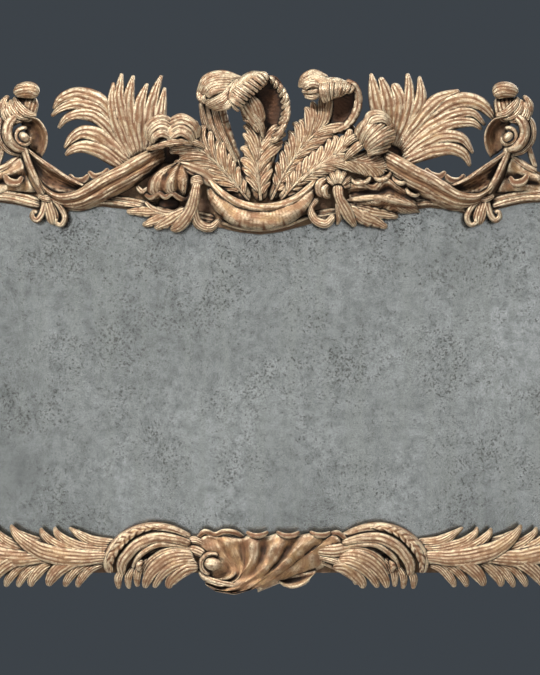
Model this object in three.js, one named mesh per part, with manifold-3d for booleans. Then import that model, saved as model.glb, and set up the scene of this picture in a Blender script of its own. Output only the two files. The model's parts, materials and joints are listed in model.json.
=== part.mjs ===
// A wide overmantel mirror with a carved and gilded frame in the rococo manner.
// A pine sub-frame holds the plate from behind; every carved ornament is glued to the front of it.
// Millimetres, +Z up. The front faces -Y, the wall is the plane y = 0, and the origin is the middle
// of the back.
import * as THREE from "three";
import { mergeVertices } from "three/addons/utils/BufferGeometryUtils.js";
import Module from "manifold-3d";

const wasm = await Module();
wasm.setup();

// ---------- sizes ----------

// mirror plate and its silvering
const PLATE_WIDTH = 1320;
const PLATE_HEIGHT = 700;
const PLATE_THICK = 4;
const SILVER_THICK = 0.4;
const PLATE_PLAY = 2; // room round the plate, so that the pine can move

// pine sub-frame
const FRAME_DEPTH = 30;
const TOP_RAIL = 32;
const BOTTOM_RAIL = 46;
const STILE = 64;
const TENON_LENGTH = 26;
const TENON_THICK = 10;
const TENON_SHOULDER = 6; // how far a tenon stands in from the rail's edges
const REBATE = 10; // width of the step that takes the backboards
const BACKBOARD_THICK = 9;
const BACKBOARD_SINK = 1; // how far the backboards lie below the frame's rear face
const MUNTIN_FACE = 56; // between the backboards
const MUNTIN_WING = 10; // step under each backboard
const MUNTIN_CLEAR = 5; // between the muntin and the silvering

// gaps
const SEAT = 0.3; // between two faces that are glued or rest on each other
const JOINT_FIT = 0.3; // round a tenon, a screw or a panel's edge

// what the carving is glued to
const CREST_BOARD_THICK = 14;
const SIGHT_RAIL_THICK = 12;
const SIGHT_RAIL_RISE = 9; // how far the lower sight rail covers the plate
const SIGHT_SETBACK = 9; // from the middle of a sight moulding to the board's edge below it
const SIDE_COVER = 10; // how far the side carving's ground covers the plate

// glazing blocks
const BLOCK_LENGTH = 70;
const BLOCK_LEG = 12; // on the frame's edge
const BLOCK_CLEAR = 3; // between a block and the backboards
const BLOCK_OFFSET = 330; // from the centre line to the blocks of the top and bottom rails

// hangers
const POCKET_WIDTH = 40;
const POCKET_DEPTH = 12;
const POCKET_BOTTOM = 142;
const POCKET_TOP = 250;
const POCKET_WALL = 6; // pine left outside the pocket
const STRAP_WIDTH = 18;
const STRAP_LENGTH = 52;
const STRAP_THICK = 1.6;
const BARREL_RADIUS = 3.5;
const RING_WIRE = 3;
const RING_INSIDE = 24;
const RING_DROP = 25;
const RING_PLAY = 0.35; // between the ring's bar and the barrel
const HANGER_HEIGHT = 206; // of the ring's axis above the middle of the back
const HANGER_SCREWS = [-16, -38]; // heights below the ring's axis
const SCREW_RADIUS = 1.6;
const SCREW_HEAD = 3.4;
const PANEL_SCREW_LENGTH = 15;
const PANEL_SCREW_INSET = 5; // from the edge of a backboard
const HANGER_SCREW_WALL = 4.9; // pine left in front of a hanger screw's tip

// The carving was drawn on a pattern for a plate of this size. It is stretched to the plate that is made.
const PATTERN_WIDTH = 1320;
const PATTERN_HEIGHT = 700;

// ---------- worked out ----------

const plateX = PLATE_WIDTH / 2;
const plateZ = PLATE_HEIGHT / 2;
const openX = plateX + PLATE_PLAY;
const openZ = plateZ + PLATE_PLAY;
const frameX = openX + STILE;
const frameTop = openZ + TOP_RAIL;
const frameBottom = -openZ - BOTTOM_RAIL;
const plateFront = -FRAME_DEPTH + SEAT;
const plateBack = plateFront + PLATE_THICK;
const silverBack = plateBack + SEAT + SILVER_THICK;
const rebateDepth = BACKBOARD_THICK + BACKBOARD_SINK;
const boardFront = FRAME_DEPTH + SEAT + CREST_BOARD_THICK; // distances forward of the wall
const sightFront = FRAME_DEPTH + SEAT + SIGHT_RAIL_THICK;
const crestGround = boardFront + SEAT;
const baseGround = sightFront + SEAT;
const sideGround = FRAME_DEPTH + SEAT;
const hangerX = frameX - POCKET_WALL - POCKET_WIDTH / 2;
const strapFront = -POCKET_DEPTH + SEAT;
const barrelY = strapFront + BARREL_RADIUS;

// ---------- materials ----------

const gilt = new THREE.MeshStandardMaterial({ color: 0xb8925f, roughness: 0.42, metalness: 0.65 });
const pine = new THREE.MeshStandardMaterial({ color: 0x8a6a45, roughness: 0.85, metalness: 0 });
const clearGlass = new THREE.MeshStandardMaterial({ color: 0xc9d6d2, roughness: 0.05, metalness: 0 });
const silvering = new THREE.MeshStandardMaterial({ color: 0x8d9490, roughness: 0.25, metalness: 0.9 });
const brass = new THREE.MeshStandardMaterial({ color: 0xa98445, roughness: 0.35, metalness: 0.9 });
const steel = new THREE.MeshStandardMaterial({ color: 0x6f6d68, roughness: 0.45, metalness: 0.9 });

// ---------- solids ----------

// A closed three.js geometry as a solid that can be joined and cut.
function solidOf(geometry) {
  const bare = geometry.clone();
  bare.deleteAttribute("normal");
  bare.deleteAttribute("uv");
  const merged = mergeVertices(bare, 1e-4);
  return new wasm.Manifold(
    new wasm.Mesh({
      numProp: 3,
      vertProperties: new Float32Array(merged.attributes.position.array),
      triVerts: new Uint32Array(merged.index.array),
    }),
  );
}

function geometryOf(solid) {
  const { numProp, numVert, vertProperties, triVerts } = solid.getMesh();
  const positions = new Float32Array(numVert * 3);
  for (let i = 0; i < numVert; i++) {
    positions.set(vertProperties.subarray(i * numProp, i * numProp + 3), i * 3);
  }
  const geometry = new THREE.BufferGeometry();
  geometry.setAttribute("position", new THREE.BufferAttribute(positions, 3));
  geometry.setIndex(new THREE.BufferAttribute(new Uint32Array(triVerts), 1));
  return geometry;
}

function boxSolid([x0, x1], [y0, y1], [z0, z1]) {
  const box = new THREE.BoxGeometry(x1 - x0, y1 - y0, z1 - z0);
  box.translate((x0 + x1) / 2, (y0 + y1) / 2, (z0 + z1) / 2);
  return solidOf(box);
}

const join = (solids) => solids.reduce((whole, solid) => whole.add(solid));

const mirrored = ([low, high]) => [-high, -low];

const group = new THREE.Group();

function place(name, material, solid) {
  const mesh = new THREE.Mesh(geometryOf(solid), material);
  mesh.name = name;
  group.add(mesh);
}

// ---------- carved strokes ----------

// Where a point of the pattern goes. Crest heights count from the plate's upper edge, base heights from its
// lower edge, and side heights from its middle.
const stretchX = PLATE_WIDTH / PATTERN_WIDTH;
const stretchZ = PLATE_HEIGHT / PATTERN_HEIGHT;
const onCrest = ([x, z]) => [x * stretchX, plateZ + z];
const onBase = ([x, z]) => [x * stretchX, -plateZ + z];
const onSide = ([x, z]) => [plateX + x, z * stretchZ];

const flip = (rows) => rows.map(([x, ...rest]) => [-x, ...rest]);
const shift = (rows, dx, dz) => rows.map(([x, z, ...rest]) => [x + dx, z + dz, ...rest]);

// A stroke is a bar of flattened section swept along a smooth line, as a gouge would leave it.
// rows hold [across, up, width] or [across, up, width, forward]; style says how it stands off its ground,
// and its stretch widens the strokes as the pattern is stretched, so that they stay joined.
function strokeSolid(rows, style, grow) {
  const { at, ground, stretch, low, rise, thick, sides = 5, steps = 1 } = style;
  const last = rows.length - 1;
  const forward = rows.map(([, , , own], i) => own ?? low + rise * Math.sin((Math.PI * i) / (last + 0.6)));
  const line = new THREE.CatmullRomCurve3(
    rows.map((row, i) => {
      const [x, z] = at(row);
      return new THREE.Vector3(x, -(ground + forward[i]), z);
    }),
    false,
    "centripetal",
  );
  const rings = last * steps;
  const normal = new THREE.Vector3(0, -1, 0);
  const side = new THREE.Vector3();
  const positions = [];
  for (let i = 0; i <= rings; i++) {
    const u = i / rings;
    const tangent = line.getTangent(u);
    const centre = line.getPoint(u);
    if (i === 0) centre.addScaledVector(tangent, -grow);
    if (i === rings) centre.addScaledVector(tangent, grow);
    normal.addScaledVector(tangent, -normal.dot(tangent)).normalize();
    side.crossVectors(normal, tangent);
    const row = Math.min(last - 1, Math.floor(u * last));
    const width = THREE.MathUtils.lerp(rows[row][2], rows[row + 1][2], u * last - row) * stretch;
    const halfWidth = width / 2 + grow;
    const halfThick = Math.min(thick, 1.2 * width) / 2 + grow;
    for (let k = 0; k < sides; k++) {
      const angle = (2 * Math.PI * k) / sides;
      const point = centre.clone();
      point.addScaledVector(side, halfWidth * Math.cos(angle));
      point.addScaledVector(normal, halfThick * Math.sin(angle));
      positions.push(point.x, point.y, point.z);
    }
  }
  const triangles = [];
  for (let k = 0; k < sides; k++) {
    const next = (k + 1) % sides;
    for (let i = 0; i < rings; i++) {
      const a = i * sides + k;
      const b = i * sides + next;
      triangles.push(a, b, b + sides, a, b + sides, a + sides);
    }
    if (k > 0 && k < sides - 1) {
      const end = rings * sides;
      triangles.push(0, next, k, end, end + k, end + next);
    }
  }
  const geometry = new THREE.BufferGeometry();
  geometry.setAttribute("position", new THREE.Float32BufferAttribute(positions, 3));
  geometry.setIndex(triangles);
  return solidOf(geometry);
}

const largest = (solid) => solid.decompose().sort((a, b) => b.volume() - a.volume())[0];

const carvings = [];

// Adds an ornament. Those added first stand in front, and the later ones are cut back to clear them.
function carve(name, parts, style, extra = []) {
  const bars = (grow) => parts.map(({ rows, ...own }) => strokeSolid(rows, { ...style, ...own }, grow));
  const shape = (grow) => join([...bars(grow), ...extra]);
  const far = 4 * PLATE_WIDTH;
  const behind = boxSolid([-far, far], [-style.ground, far], [-far, far]);
  let solid = join([shape(0).subtract(behind), ...extra]);
  for (const other of carvings) solid = solid.subtract(other.halo);
  carvings.push({ name, solid: largest(solid), halo: shape(SEAT) });
}

// ---------- sight lines of the crest, [across, above the plate] ----------

const cornerArch = [[-644, -94], [-636, -56], [-612, -20], [-572, -2], [-532, 0], [-492, -6], [-448, -18]];
const leftArch = [[-412, -22], [-372, -12], [-326, -8], [-276, -14], [-212, -28], [-152, -40], [-102, -48]];
const rightArch = [[408, -26], [378, -16], [328, -10], [264, -18], [208, -28], [148, -34], [92, -42]];
const bowlEdge = [[-92, -48], [-52, -60], [-12, -64], [28, -59], [86, -38]];

// Upper edge of the board, left of the centre line; it stays hidden behind the carving.
const boardTop = [[-690, 26], [-620, 36], [-560, 44], [-528, 58], [-492, 78], [-466, 56], [-430, 36],
  [-316, 34], [-284, 58], [-232, 70]];
const BOARD_END_TOP = 4; // height of the board's top edge at its two ends

function crestBoard() {
  const end = frameX / stretchX; // the board ends flush with the stiles
  const curve = new THREE.SplineCurve(cornerArch.map(([x, z]) => new THREE.Vector2(x, z)));
  const corner = curve.getPoints(12).map(({ x, y }) => [x, y]);
  const foot = cornerArch[0][1];
  const sightLine = [
    [-end, foot],
    ...corner,
    ...leftArch,
    ...bowlEdge.slice(1, -1),
    ...rightArch.toReversed(),
    ...flip(corner).reverse(),
    [end, foot],
  ];
  const upperLeft = [[-end, BOARD_END_TOP], ...boardTop];
  const outline = [
    ...sightLine.map(([x, z]) => [x, z - SIGHT_SETBACK]),
    ...flip(upperLeft),
    ...upperLeft.toReversed(),
  ];
  const shape = new THREE.Shape(outline.map((point) => new THREE.Vector2(...onCrest(point))));
  const board = new THREE.ExtrudeGeometry(shape, { depth: CREST_BOARD_THICK, bevelEnabled: false });
  board.rotateX(Math.PI / 2); // the shape's y becomes z, and the board stands forward, to -Y
  board.translate(0, -FRAME_DEPTH - SEAT, 0);
  return solidOf(board);
}

// ---------- ornaments of the crest ----------

const crest = { at: onCrest, ground: crestGround, stretch: stretchX };
const strokes = (list, own = {}) => list.map((rows) => ({ rows, ...own }));

carve("plume_bowl", [
  { rows: [[-114, 22, 16], [-96, -6, 34], [-58, -34, 44], [-12, -42, 46], [34, -34, 44], [72, -10, 36],
    [98, 26, 20]], sides: 8 },
  { rows: bowlEdge.map(([x, z]) => [x, z + 1, 12, 5]), thick: 10, steps: 1 },
], { ...crest, low: 8, rise: 14, thick: 44, steps: 2 });

const sprig = { ...crest, low: 16, rise: 8, thick: 18, sides: 4 };
carve("leaf_sprig_left", strokes([
  [[-138, 30, 16, 40], [-142, 4, 22, 44], [-152, -28, 26, 40], [-176, -58, 24, 30], [-190, -62, 6, 22]],
  [[-150, -20, 12, 34], [-190, -44, 26, 28], [-222, -62, 8, 18]],
  [[-160, -30, 12, 26], [-206, -40, 26, 22], [-244, -56, 8, 14]],
  [[-176, -32, 12, 22], [-230, -28, 22, 18], [-276, -28, 8, 12]],
  [[-140, 10, 14, 38], [-144, -22, 18, 36], [-136, -50, 20, 30], [-112, -60, 18, 26], [-92, -44, 10, 20]],
  [[-142, -30, 12, 32], [-140, -52, 12, 26], [-134, -62, 5, 20]],
  [[-128, 34, 18, 30], [-138, 32, 26, 36], [-150, 30, 16, 30]],
]), sprig);

carve("leaf_sprig_right", strokes([
  [[142, 26, 26, 38], [146, 0, 20, 42], [162, -30, 26, 38], [178, -58, 8, 26]],
  [[150, -14, 14, 34], [186, -36, 26, 28], [206, -56, 8, 20]],
  [[156, -22, 14, 30], [206, -42, 26, 24], [240, -60, 8, 14]],
  [[160, -16, 14, 26], [216, -30, 24, 20], [262, -38, 8, 12]],
  [[144, -8, 14, 36], [146, -36, 14, 32], [142, -52, 6, 24]],
  [[138, -34, 14, 30], [120, -52, 18, 28], [98, -44, 18, 24], [90, -22, 14, 22], [104, -2, 12, 24]],
  [[108, 14, 20, 22], [122, 6, 26, 28], [128, 12, 18, 28]],
  [[128, 42, 14, 24], [138, 44, 24, 28], [158, 36, 22, 28], [168, 20, 16, 24], [160, 6, 12, 22]],
  [[104, 32, 14, 20], [118, 30, 22, 26], [134, 34, 18, 30]],
  [[118, 20, 22, 26], [142, 24, 34, 32], [160, 20, 18, 28]],
]), sprig);

carve("bloom", strokes([
  [[-176, 66, 14, 30], [-200, 56, 26, 44], [-222, 34, 28, 48], [-228, 4, 24, 36], [-214, -14, 12, 26]],
  [[-172, 66, 14, 34], [-190, 50, 28, 52], [-204, 24, 32, 58], [-206, -4, 24, 48]],
  [[-168, 66, 14, 32], [-174, 46, 28, 50], [-180, 20, 32, 56], [-180, -2, 22, 46]],
  [[-166, 60, 12, 26], [-160, 40, 20, 34], [-160, 16, 20, 34], [-168, -4, 12, 30]],
  [[-222, -8, 14, 24], [-206, -24, 14, 26], [-184, -26, 16, 26], [-168, -10, 14, 26]],
]), { ...crest, low: 20, rise: 10, thick: 22 });

const plume = { ...crest, low: 10, rise: 10, thick: 16, sides: 6, steps: 2 };
carve("feather_centre", strokes([
  [[-18, -12, 16, 20], [-20, 36, 50, 22], [-14, 76, 72, 24], [-4, 116, 82, 24], [4, 150, 88, 22],
    [8, 190, 84, 26], [2, 220, 76, 36], [-6, 244, 48, 52]],
  [[16, 240, 30, 44], [-10, 240, 44, 56], [-36, 232, 58, 68], [-50, 212, 54, 74], [-50, 186, 26, 66]],
]), plume);

carve("feather_low_left", strokes([
  [[-36, -10, 14, 12], [-68, 36, 46, 18], [-102, 76, 64, 26], [-138, 106, 64, 34], [-174, 126, 58, 42],
    [-202, 132, 56, 52], [-218, 118, 50, 60], [-216, 96, 28, 54]],
  [[-70, 14, 14, 12], [-104, 38, 40, 20], [-150, 62, 36, 26], [-184, 70, 12, 24]],
]), plume);

carve("feather_low_right", strokes([
  [[28, -8, 12, 10], [54, 26, 32, 16], [86, 54, 42, 24], [124, 78, 46, 30], [158, 94, 42, 36],
    [184, 112, 48, 42], [206, 136, 56, 50], [226, 144, 54, 60], [239, 130, 48, 64], [236, 106, 28, 58]],
  [[66, 26, 12, 18], [96, 54, 28, 24], [148, 70, 32, 28], [200, 62, 30, 26], [240, 48, 12, 20]],
]), plume);

carve("feather_left", strokes([
  [[-40, -8, 12, 4], [-56, 56, 28, 6], [-78, 98, 40, 8], [-96, 138, 48, 10], [-106, 172, 56, 12],
    [-108, 208, 62, 18], [-102, 236, 70, 32], [-97, 247, 74, 46], [-98, 234, 72, 60], [-104, 208, 60, 62],
    [-108, 184, 28, 54]],
]), plume);

carve("feather_right", strokes([
  [[4, -8, 14, 4], [28, 36, 44, 8], [58, 72, 66, 12], [92, 106, 84, 16], [124, 140, 84, 18],
    [150, 174, 70, 20], [162, 206, 54, 26], [158, 234, 40, 38]],
  [[172, 222, 24, 34], [148, 234, 46, 46], [120, 235, 54, 58], [96, 226, 56, 64], [76, 206, 32, 60]],
  [[154, 220, 26, 42], [140, 205, 38, 54], [121, 185, 16, 52]],
]), plume);

const ribbon = { ...crest, low: 10, rise: 10, thick: 16, sides: 6, steps: 2 };
carve("ribbon_left", [
  ...strokes([
    [[-226, 82, 18, 30], [-272, 52, 36, 30], [-316, 28, 42, 26], [-362, 4, 38, 20], [-402, -12, 24, 10]],
    [[-474, 92, 8, 20], [-450, 50, 38, 14], [-416, 26, 44, 12], [-376, 10, 22, 12]],
  ]),
  { rows: [[-398, 30, 16, 8], [-384, 42, 16, 10], [-368, 48, 16, 12], [-350, 40, 16, 14], [-334, 46, 16, 16],
    [-316, 36, 14, 18]], sides: 4, steps: 1 },
], ribbon);

carve("ribbon_right", [
  ...strokes([
    [[264, 62, 16, 26], [308, 30, 38, 28], [358, 12, 38, 22], [412, -4, 20, 10]],
    [[482, 92, 8, 20], [464, 52, 30, 14], [436, 20, 34, 12], [396, 6, 18, 12]],
  ]),
  { rows: [[308, 34, 16, 20], [328, 42, 16, 16], [342, 46, 16, 12], [358, 38, 16, 12], [380, 44, 20, 12],
    [402, 28, 16, 8]], sides: 4, steps: 1 },
], ribbon);

carve("rocaille_shell", strokes([
  [[168, 22, 18], [196, 22, 26], [222, 28, 20], [240, 32, 22], [262, 22, 26], [272, 8, 10]],
  [[170, -4, 30], [206, -4, 58], [240, -6, 52], [278, -2, 30], [298, 8, 10]],
]), { ...crest, low: 8, rise: 10, thick: 22 });

// Stem that carries a volute: cap, bar, collar, volute with its flare, neck and two struts.
const stem = [
  { rows: [[-495, 225, 12, 26], [-484, 222, 26, 28], [-468, 214, 26, 28], [-456, 208, 12, 26]], thick: 34 },
  { rows: [[-476, 214, 30, 26], [-484, 176, 32, 24], [-494, 140, 34, 20]], thick: 30, sides: 8 },
  { rows: [[-524, 168, 14, 18], [-508, 182, 26, 30], [-482, 176, 26, 34], [-458, 168, 10, 24]], thick: 24,
    sides: 4 },
  { rows: [[-518, 158, 20, 14], [-521, 186, 22, 16], [-510, 210, 8, 14]], thick: 16, sides: 4 },
  { rows: [[-504, 172, 34, 22], [-514, 142, 34, 20], [-502, 114, 22, 24], [-482, 104, 14, 28],
    [-468, 118, 12, 30], [-478, 134, 14, 32], [-484, 122, 8, 34]], thick: 26 },
  { rows: [[-484, 148, 16, 22], [-456, 144, 16, 26], [-441, 120, 18, 26], [-444, 96, 14, 20],
    [-456, 82, 5, 14]], thick: 14, sides: 4 },
  { rows: [[-482, 102, 16, 16], [-490, 66, 20, 8]], thick: 18 },
  { rows: [[-486, 84, 14, 8], [-512, 66, 16, 8], [-534, 54, 16, 7]], thick: 14 },
  { rows: [[-519, 126, 10, 12], [-526, 92, 12, 8], [-537, 58, 12, 6]], thick: 14 },
];
const stemStyle = { ...crest, low: 10, rise: 4, thick: 20 };
const mirror = (parts) => parts.map(({ rows, ...own }) => ({ rows: flip(rows), ...own }));
carve("scroll_stem_left", stem, stemStyle);
carve("scroll_stem_right", mirror(stem), stemStyle);

const drip = strokes([
  [[-438, 4, 20], [-442, -20, 22], [-452, -42, 22], [-456, -52, 12]],
  [[-434, 2, 20], [-428, -24, 28], [-420, -44, 34], [-418, -54, 18]],
]);
const dripStyle = { ...crest, low: 8, rise: 6, thick: 22 };
carve("drip_left", drip, dripStyle);
carve("drip_right", mirror(drip), dripStyle);

const palm = { ...crest, low: 8, rise: 8, thick: 12, sides: 4 };
carve("palm_spray_left", strokes([
  [[-264, 84, 10], [-300, 146, 22], [-332, 190, 26], [-376, 205, 22], [-408, 196, 16], [-422, 178, 4]],
  [[-268, 80, 10], [-306, 144, 20], [-338, 178, 20], [-380, 187, 18], [-408, 178, 12], [-426, 164, 4]],
  [[-272, 76, 10], [-306, 130, 20], [-338, 160, 20], [-372, 167, 16], [-398, 158, 12], [-412, 140, 4]],
  [[-270, 70, 12], [-308, 102, 26], [-338, 124, 26], [-364, 130, 20], [-386, 118, 16], [-400, 100, 4]],
  [[-284, 58, 12], [-314, 84, 22], [-340, 98, 22], [-366, 102, 18], [-386, 96, 14], [-398, 86, 4]],
  [[-264, 80, 10], [-294, 136, 22], [-306, 184, 18], [-304, 230, 4]],
  [[-260, 84, 12], [-282, 146, 26], [-292, 200, 20], [-288, 246, 4]],
  [[-254, 86, 12], [-268, 146, 26], [-274, 200, 20], [-264, 242, 4]],
  [[-248, 88, 12], [-252, 140, 26], [-250, 190, 20], [-236, 226, 4]],
  [[-242, 90, 12], [-234, 140, 26], [-226, 194, 20], [-208, 242, 4]],
  [[-234, 96, 14], [-218, 140, 24], [-208, 184, 16], [-202, 218, 4]],
]), palm);

carve("palm_spray_right", strokes([
  [[244, 104, 14], [230, 156, 26], [218, 206, 22], [209, 246, 4]],
  [[248, 104, 14], [246, 158, 26], [240, 204, 22], [228, 238, 8]],
  [[252, 104, 14], [264, 158, 26], [266, 196, 24], [254, 226, 12]],
  [[256, 102, 12], [276, 160, 26], [286, 202, 20], [282, 246, 5]],
  [[262, 100, 12], [294, 160, 24], [308, 198, 20], [306, 240, 4]],
  [[264, 98, 12], [304, 156, 24], [344, 194, 22], [384, 212, 6]],
  [[266, 96, 12], [328, 162, 24], [378, 192, 26], [424, 188, 22], [448, 168, 14], [460, 150, 4]],
  [[270, 90, 12], [326, 138, 22], [378, 166, 20], [412, 168, 14], [436, 146, 4]],
  [[272, 84, 12], [322, 122, 22], [360, 144, 20], [410, 150, 14], [430, 138, 4]],
  [[272, 76, 12], [318, 108, 22], [364, 123, 22], [392, 116, 16], [412, 90, 4]],
  [[268, 68, 16], [324, 92, 24], [368, 98, 20], [394, 88, 16], [406, 64, 4]],
]), palm);

const moulding = { ...crest, low: 6, rise: 0, thick: 16 };
const sightRows = (arch, width) => arch.map(([x, z]) => [x, z, width]);
carve("top_moulding_left", strokes([
  sightRows(cornerArch, 24),
  sightRows([[-452, -20], ...leftArch], 22),
]), moulding);
carve("top_moulding_right", strokes([
  sightRows(flip(cornerArch), 24),
  sightRows([[452, -20], ...rightArch], 22),
]), moulding);

// shoulder over each top corner: a long C-scroll with leaves along its back
const shoulder = strokes([
  [[-548, 46, 12, 8], [-600, 60, 24, 12], [-666, 46, 28, 14], [-716, 4, 28, 14], [-738, -54, 26, 12],
    [-724, -98, 18, 12], [-704, -86, 10, 12]],
  [[-560, 52, 12, 8], [-574, 88, 20, 10], [-566, 122, 5, 8]],
  [[-588, 58, 12, 8], [-620, 92, 22, 10], [-622, 132, 5, 8]],
  [[-634, 54, 12, 8], [-676, 82, 22, 10], [-690, 118, 5, 8]],
  [[-680, 30, 12, 8], [-728, 50, 22, 10], [-752, 80, 5, 8]],
  [[-712, -6, 12, 8], [-752, 4, 20, 10], [-776, 26, 5, 8]],
  [[-600, 52, 12, 8], [-640, 20, 22, 8], [-660, -24, 18, 6], [-668, -70, 5, 6]],
]);
const shoulderStyle = { ...crest, low: 8, rise: 6, thick: 18, sides: 4 };
carve("top_shoulder_left", shoulder, shoulderStyle);
carve("top_shoulder_right", mirror(shoulder), shoulderStyle);

// ---------- ornaments of the base, [across, above the plate's lower edge] ----------

const base = { at: onBase, ground: baseGround, stretch: stretchX, low: 8, rise: 10, thick: 16 };
carve("base_knot", strokes([
  [[-124, -26, 10], [-112, -52, 18], [-82, -66, 24], [-42, -73, 26], [-2, -66, 24], [42, -46, 20],
    [84, -24, 10]],
  [[-18, 24, 30], [-30, -16, 34], [-54, -46, 26], [-88, -60, 8]],
  [[14, 28, 32], [4, -8, 34], [-24, -44, 26], [-60, -64, 8]],
  [[50, 26, 32], [32, -8, 32], [-4, -44, 24], [-44, -66, 8]],
  [[94, 24, 32], [68, -6, 32], [24, -40, 24], [-28, -68, 8]],
  [[134, 22, 28], [104, -2, 30], [66, -20, 26], [28, -42, 8]],
  [[-120, 26, 30], [-104, -4, 30], [-84, -32, 24], [-64, -50, 8]],
  [[-86, 26, 30], [-74, -4, 32], [-62, -32, 24], [-48, -50, 8]],
  [[-52, 24, 28], [-48, -8, 30], [-46, -40, 16]],
  [[-116, -32, 12, 34], [-106, -32, 24, 36], [-96, -32, 12, 34]],
  [[-164, 2, 16], [-138, 6, 24], [-114, -6, 20]],
  [[20, -54, 12], [36, -70, 20], [64, -70, 24], [88, -54, 18], [96, -38, 8]],
  [[104, -8, 26], [140, -12, 34], [178, -16, 20]],
  [[92, -20, 16], [128, -32, 16], [160, -46, 14], [178, -70, 5]],
]), { ...base, low: 12, rise: 14, thick: 26 });

// C-scroll beside the knot, with the leaves that it wraps
const scrollRun = [
  { rows: [[-150, 16, 14], [-180, 30, 22], [-222, 33, 26], [-260, 24, 30], [-288, 2, 32], [-297, -24, 30],
    [-284, -42, 20], [-264, -34, 12]], thick: 26 },
  { rows: [[-154, 6, 20, 4], [-206, 12, 40, 5], [-262, -2, 40, 5], [-278, -26, 22, 4]], thick: 10 },
  ...strokes([
    [[-150, -2, 16], [-196, 4, 20], [-252, -4, 12]],
    [[-150, -14, 18], [-200, -14, 24], [-234, -34, 22], [-242, -74, 6]],
    [[-146, -26, 18], [-182, -30, 24], [-212, -48, 20], [-222, -76, 5]],
    [[-140, -38, 18], [-160, -42, 24], [-186, -56, 20], [-198, -76, 6]],
    [[-236, -14, 14], [-258, -44, 20], [-260, -74, 5]],
    [[-268, -26, 12], [-279, -50, 18], [-278, -78, 5]],
    [[-290, -34, 12], [-299, -54, 18], [-297, -78, 5]],
  ], { sides: 4 }),
];
carve("base_scroll_left", scrollRun, { ...base, low: 7, rise: 12 });
carve("base_scroll_right", mirror(scrollRun), { ...base, low: 7, rise: 12 });

// One unit of the leaf run: a spine with leaves that curl over the plate above and hang below.
const leafUnit = [
  [[-312, -8, 34], [-362, -12, 40], [-430, -18, 18]],
  [[-322, -22, 14], [-356, -38, 22], [-376, -76, 7]],
  [[-324, -16, 16], [-384, -30, 28], [-420, -72, 8]],
  [[-340, -10, 16], [-410, -26, 28], [-444, -70, 8]],
  [[-400, -18, 16], [-446, -38, 26], [-468, -78, 7]],
  [[-426, -18, 18], [-484, -32, 32], [-506, -74, 9]],
  [[-314, 14, 18], [-352, 20, 22], [-390, 40, 6]],
  [[-320, 4, 18], [-368, 12, 24], [-418, 38, 6]],
  [[-344, 0, 18], [-400, 8, 24], [-446, 38, 6]],
  [[-392, -8, 22], [-462, 4, 30], [-506, 44, 6]],
];
const UNIT_PITCH = 118;
const UNITS = 2;
const leafRun = [];
for (let unit = 0; unit < UNITS; unit++) {
  leafRun.push(...strokes(leafUnit.map((rows) => shift(rows, -unit * UNIT_PITCH, 0))));
}
const runStyle = { ...base, low: 5, rise: 12, thick: 16, sides: 4 };
carve("leaf_run_left", leafRun, runStyle);
carve("leaf_run_right", mirror(leafRun), runStyle);

// corner below each side
const corner = strokes([
  [[-612, -22, 12], [-660, -34, 26], [-716, -26, 28], [-748, 20, 28], [-742, 70, 22], [-718, 76, 10]],
  [[-640, -32, 12], [-672, -56, 20], [-708, -74, 5]],
  [[-684, -32, 12], [-728, -50, 22], [-758, -66, 5]],
  [[-726, -10, 12], [-758, -16, 20], [-778, -34, 5]],
  [[-650, -20, 12], [-676, 10, 20], [-670, 44, 5]],
]);
const cornerStyle = { ...base, low: 6, rise: 10, thick: 16, sides: 4 };
carve("bottom_corner_left", corner, cornerStyle);
carve("bottom_corner_right", mirror(corner), cornerStyle);

// ---------- side carvings, [out from the plate's edge, up from the middle] ----------

const SIDE_LEAVES = 3;
const SIDE_PITCH = 66;
const sideStrokes = (() => {
  const upper = [[[30, 6, 26], [34, 110, 30], [32, 214, 12]]];
  for (let i = 0; i < SIDE_LEAVES; i++) {
    const z = 20 + i * SIDE_PITCH;
    upper.push([[36, z, 12], [70, z + 18, 24], [104, z + 60, 5]]);
    upper.push([[28, z, 12], [8, z + 20, 18], [-8, z + 52, 4]]);
  }
  const lower = upper.map((rows) => rows.map(([x, z, ...rest]) => [x, -z, ...rest]));
  const heart = [[[44, -40, 14, 22], [22, -20, 30, 24], [22, 20, 30, 24], [44, 40, 14, 22]]];
  return strokes([...upper, ...lower, ...heart]);
})();

function sideGroundStrip() {
  const archFoot = plateZ + cornerArch[0][1] - SIGHT_SETBACK;
  const sightRailTop = -plateZ + SIGHT_RAIL_RISE;
  return boxSolid(
    [plateX - SIDE_COVER, frameX],
    [-sightFront, -sideGround],
    [sightRailTop + SEAT, archFoot - SEAT],
  );
}
for (const [name, sign] of [["side_carving_left", -1], ["side_carving_right", 1]]) {
  const at = (row) => {
    const [x, z] = onSide(row);
    return [sign * x, z];
  };
  const strip = sideGroundStrip();
  const style = { at, ground: sideGround, stretch: stretchZ, low: 16, rise: 8, thick: 16, sides: 4 };
  carve(name, sideStrokes, style, [sign < 0 ? strip.mirror([1, 0, 0]) : strip]);
}

for (const { name, solid } of carvings) place(name, gilt, solid);
place("crest_board", gilt, crestBoard());
place("lower_sight_rail", gilt,
  boxSolid([-frameX, frameX], [-sightFront, -sideGround], [frameBottom, -plateZ + SIGHT_RAIL_RISE]));

// ---------- plate ----------

place("glass_plate", clearGlass, boxSolid([-plateX, plateX], [plateFront, plateBack], [-plateZ, plateZ]));
place("silvering", silvering,
  boxSolid([-plateX, plateX], [plateBack + SEAT, silverBack], [-plateZ, plateZ]));

// ---------- screws ----------

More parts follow.
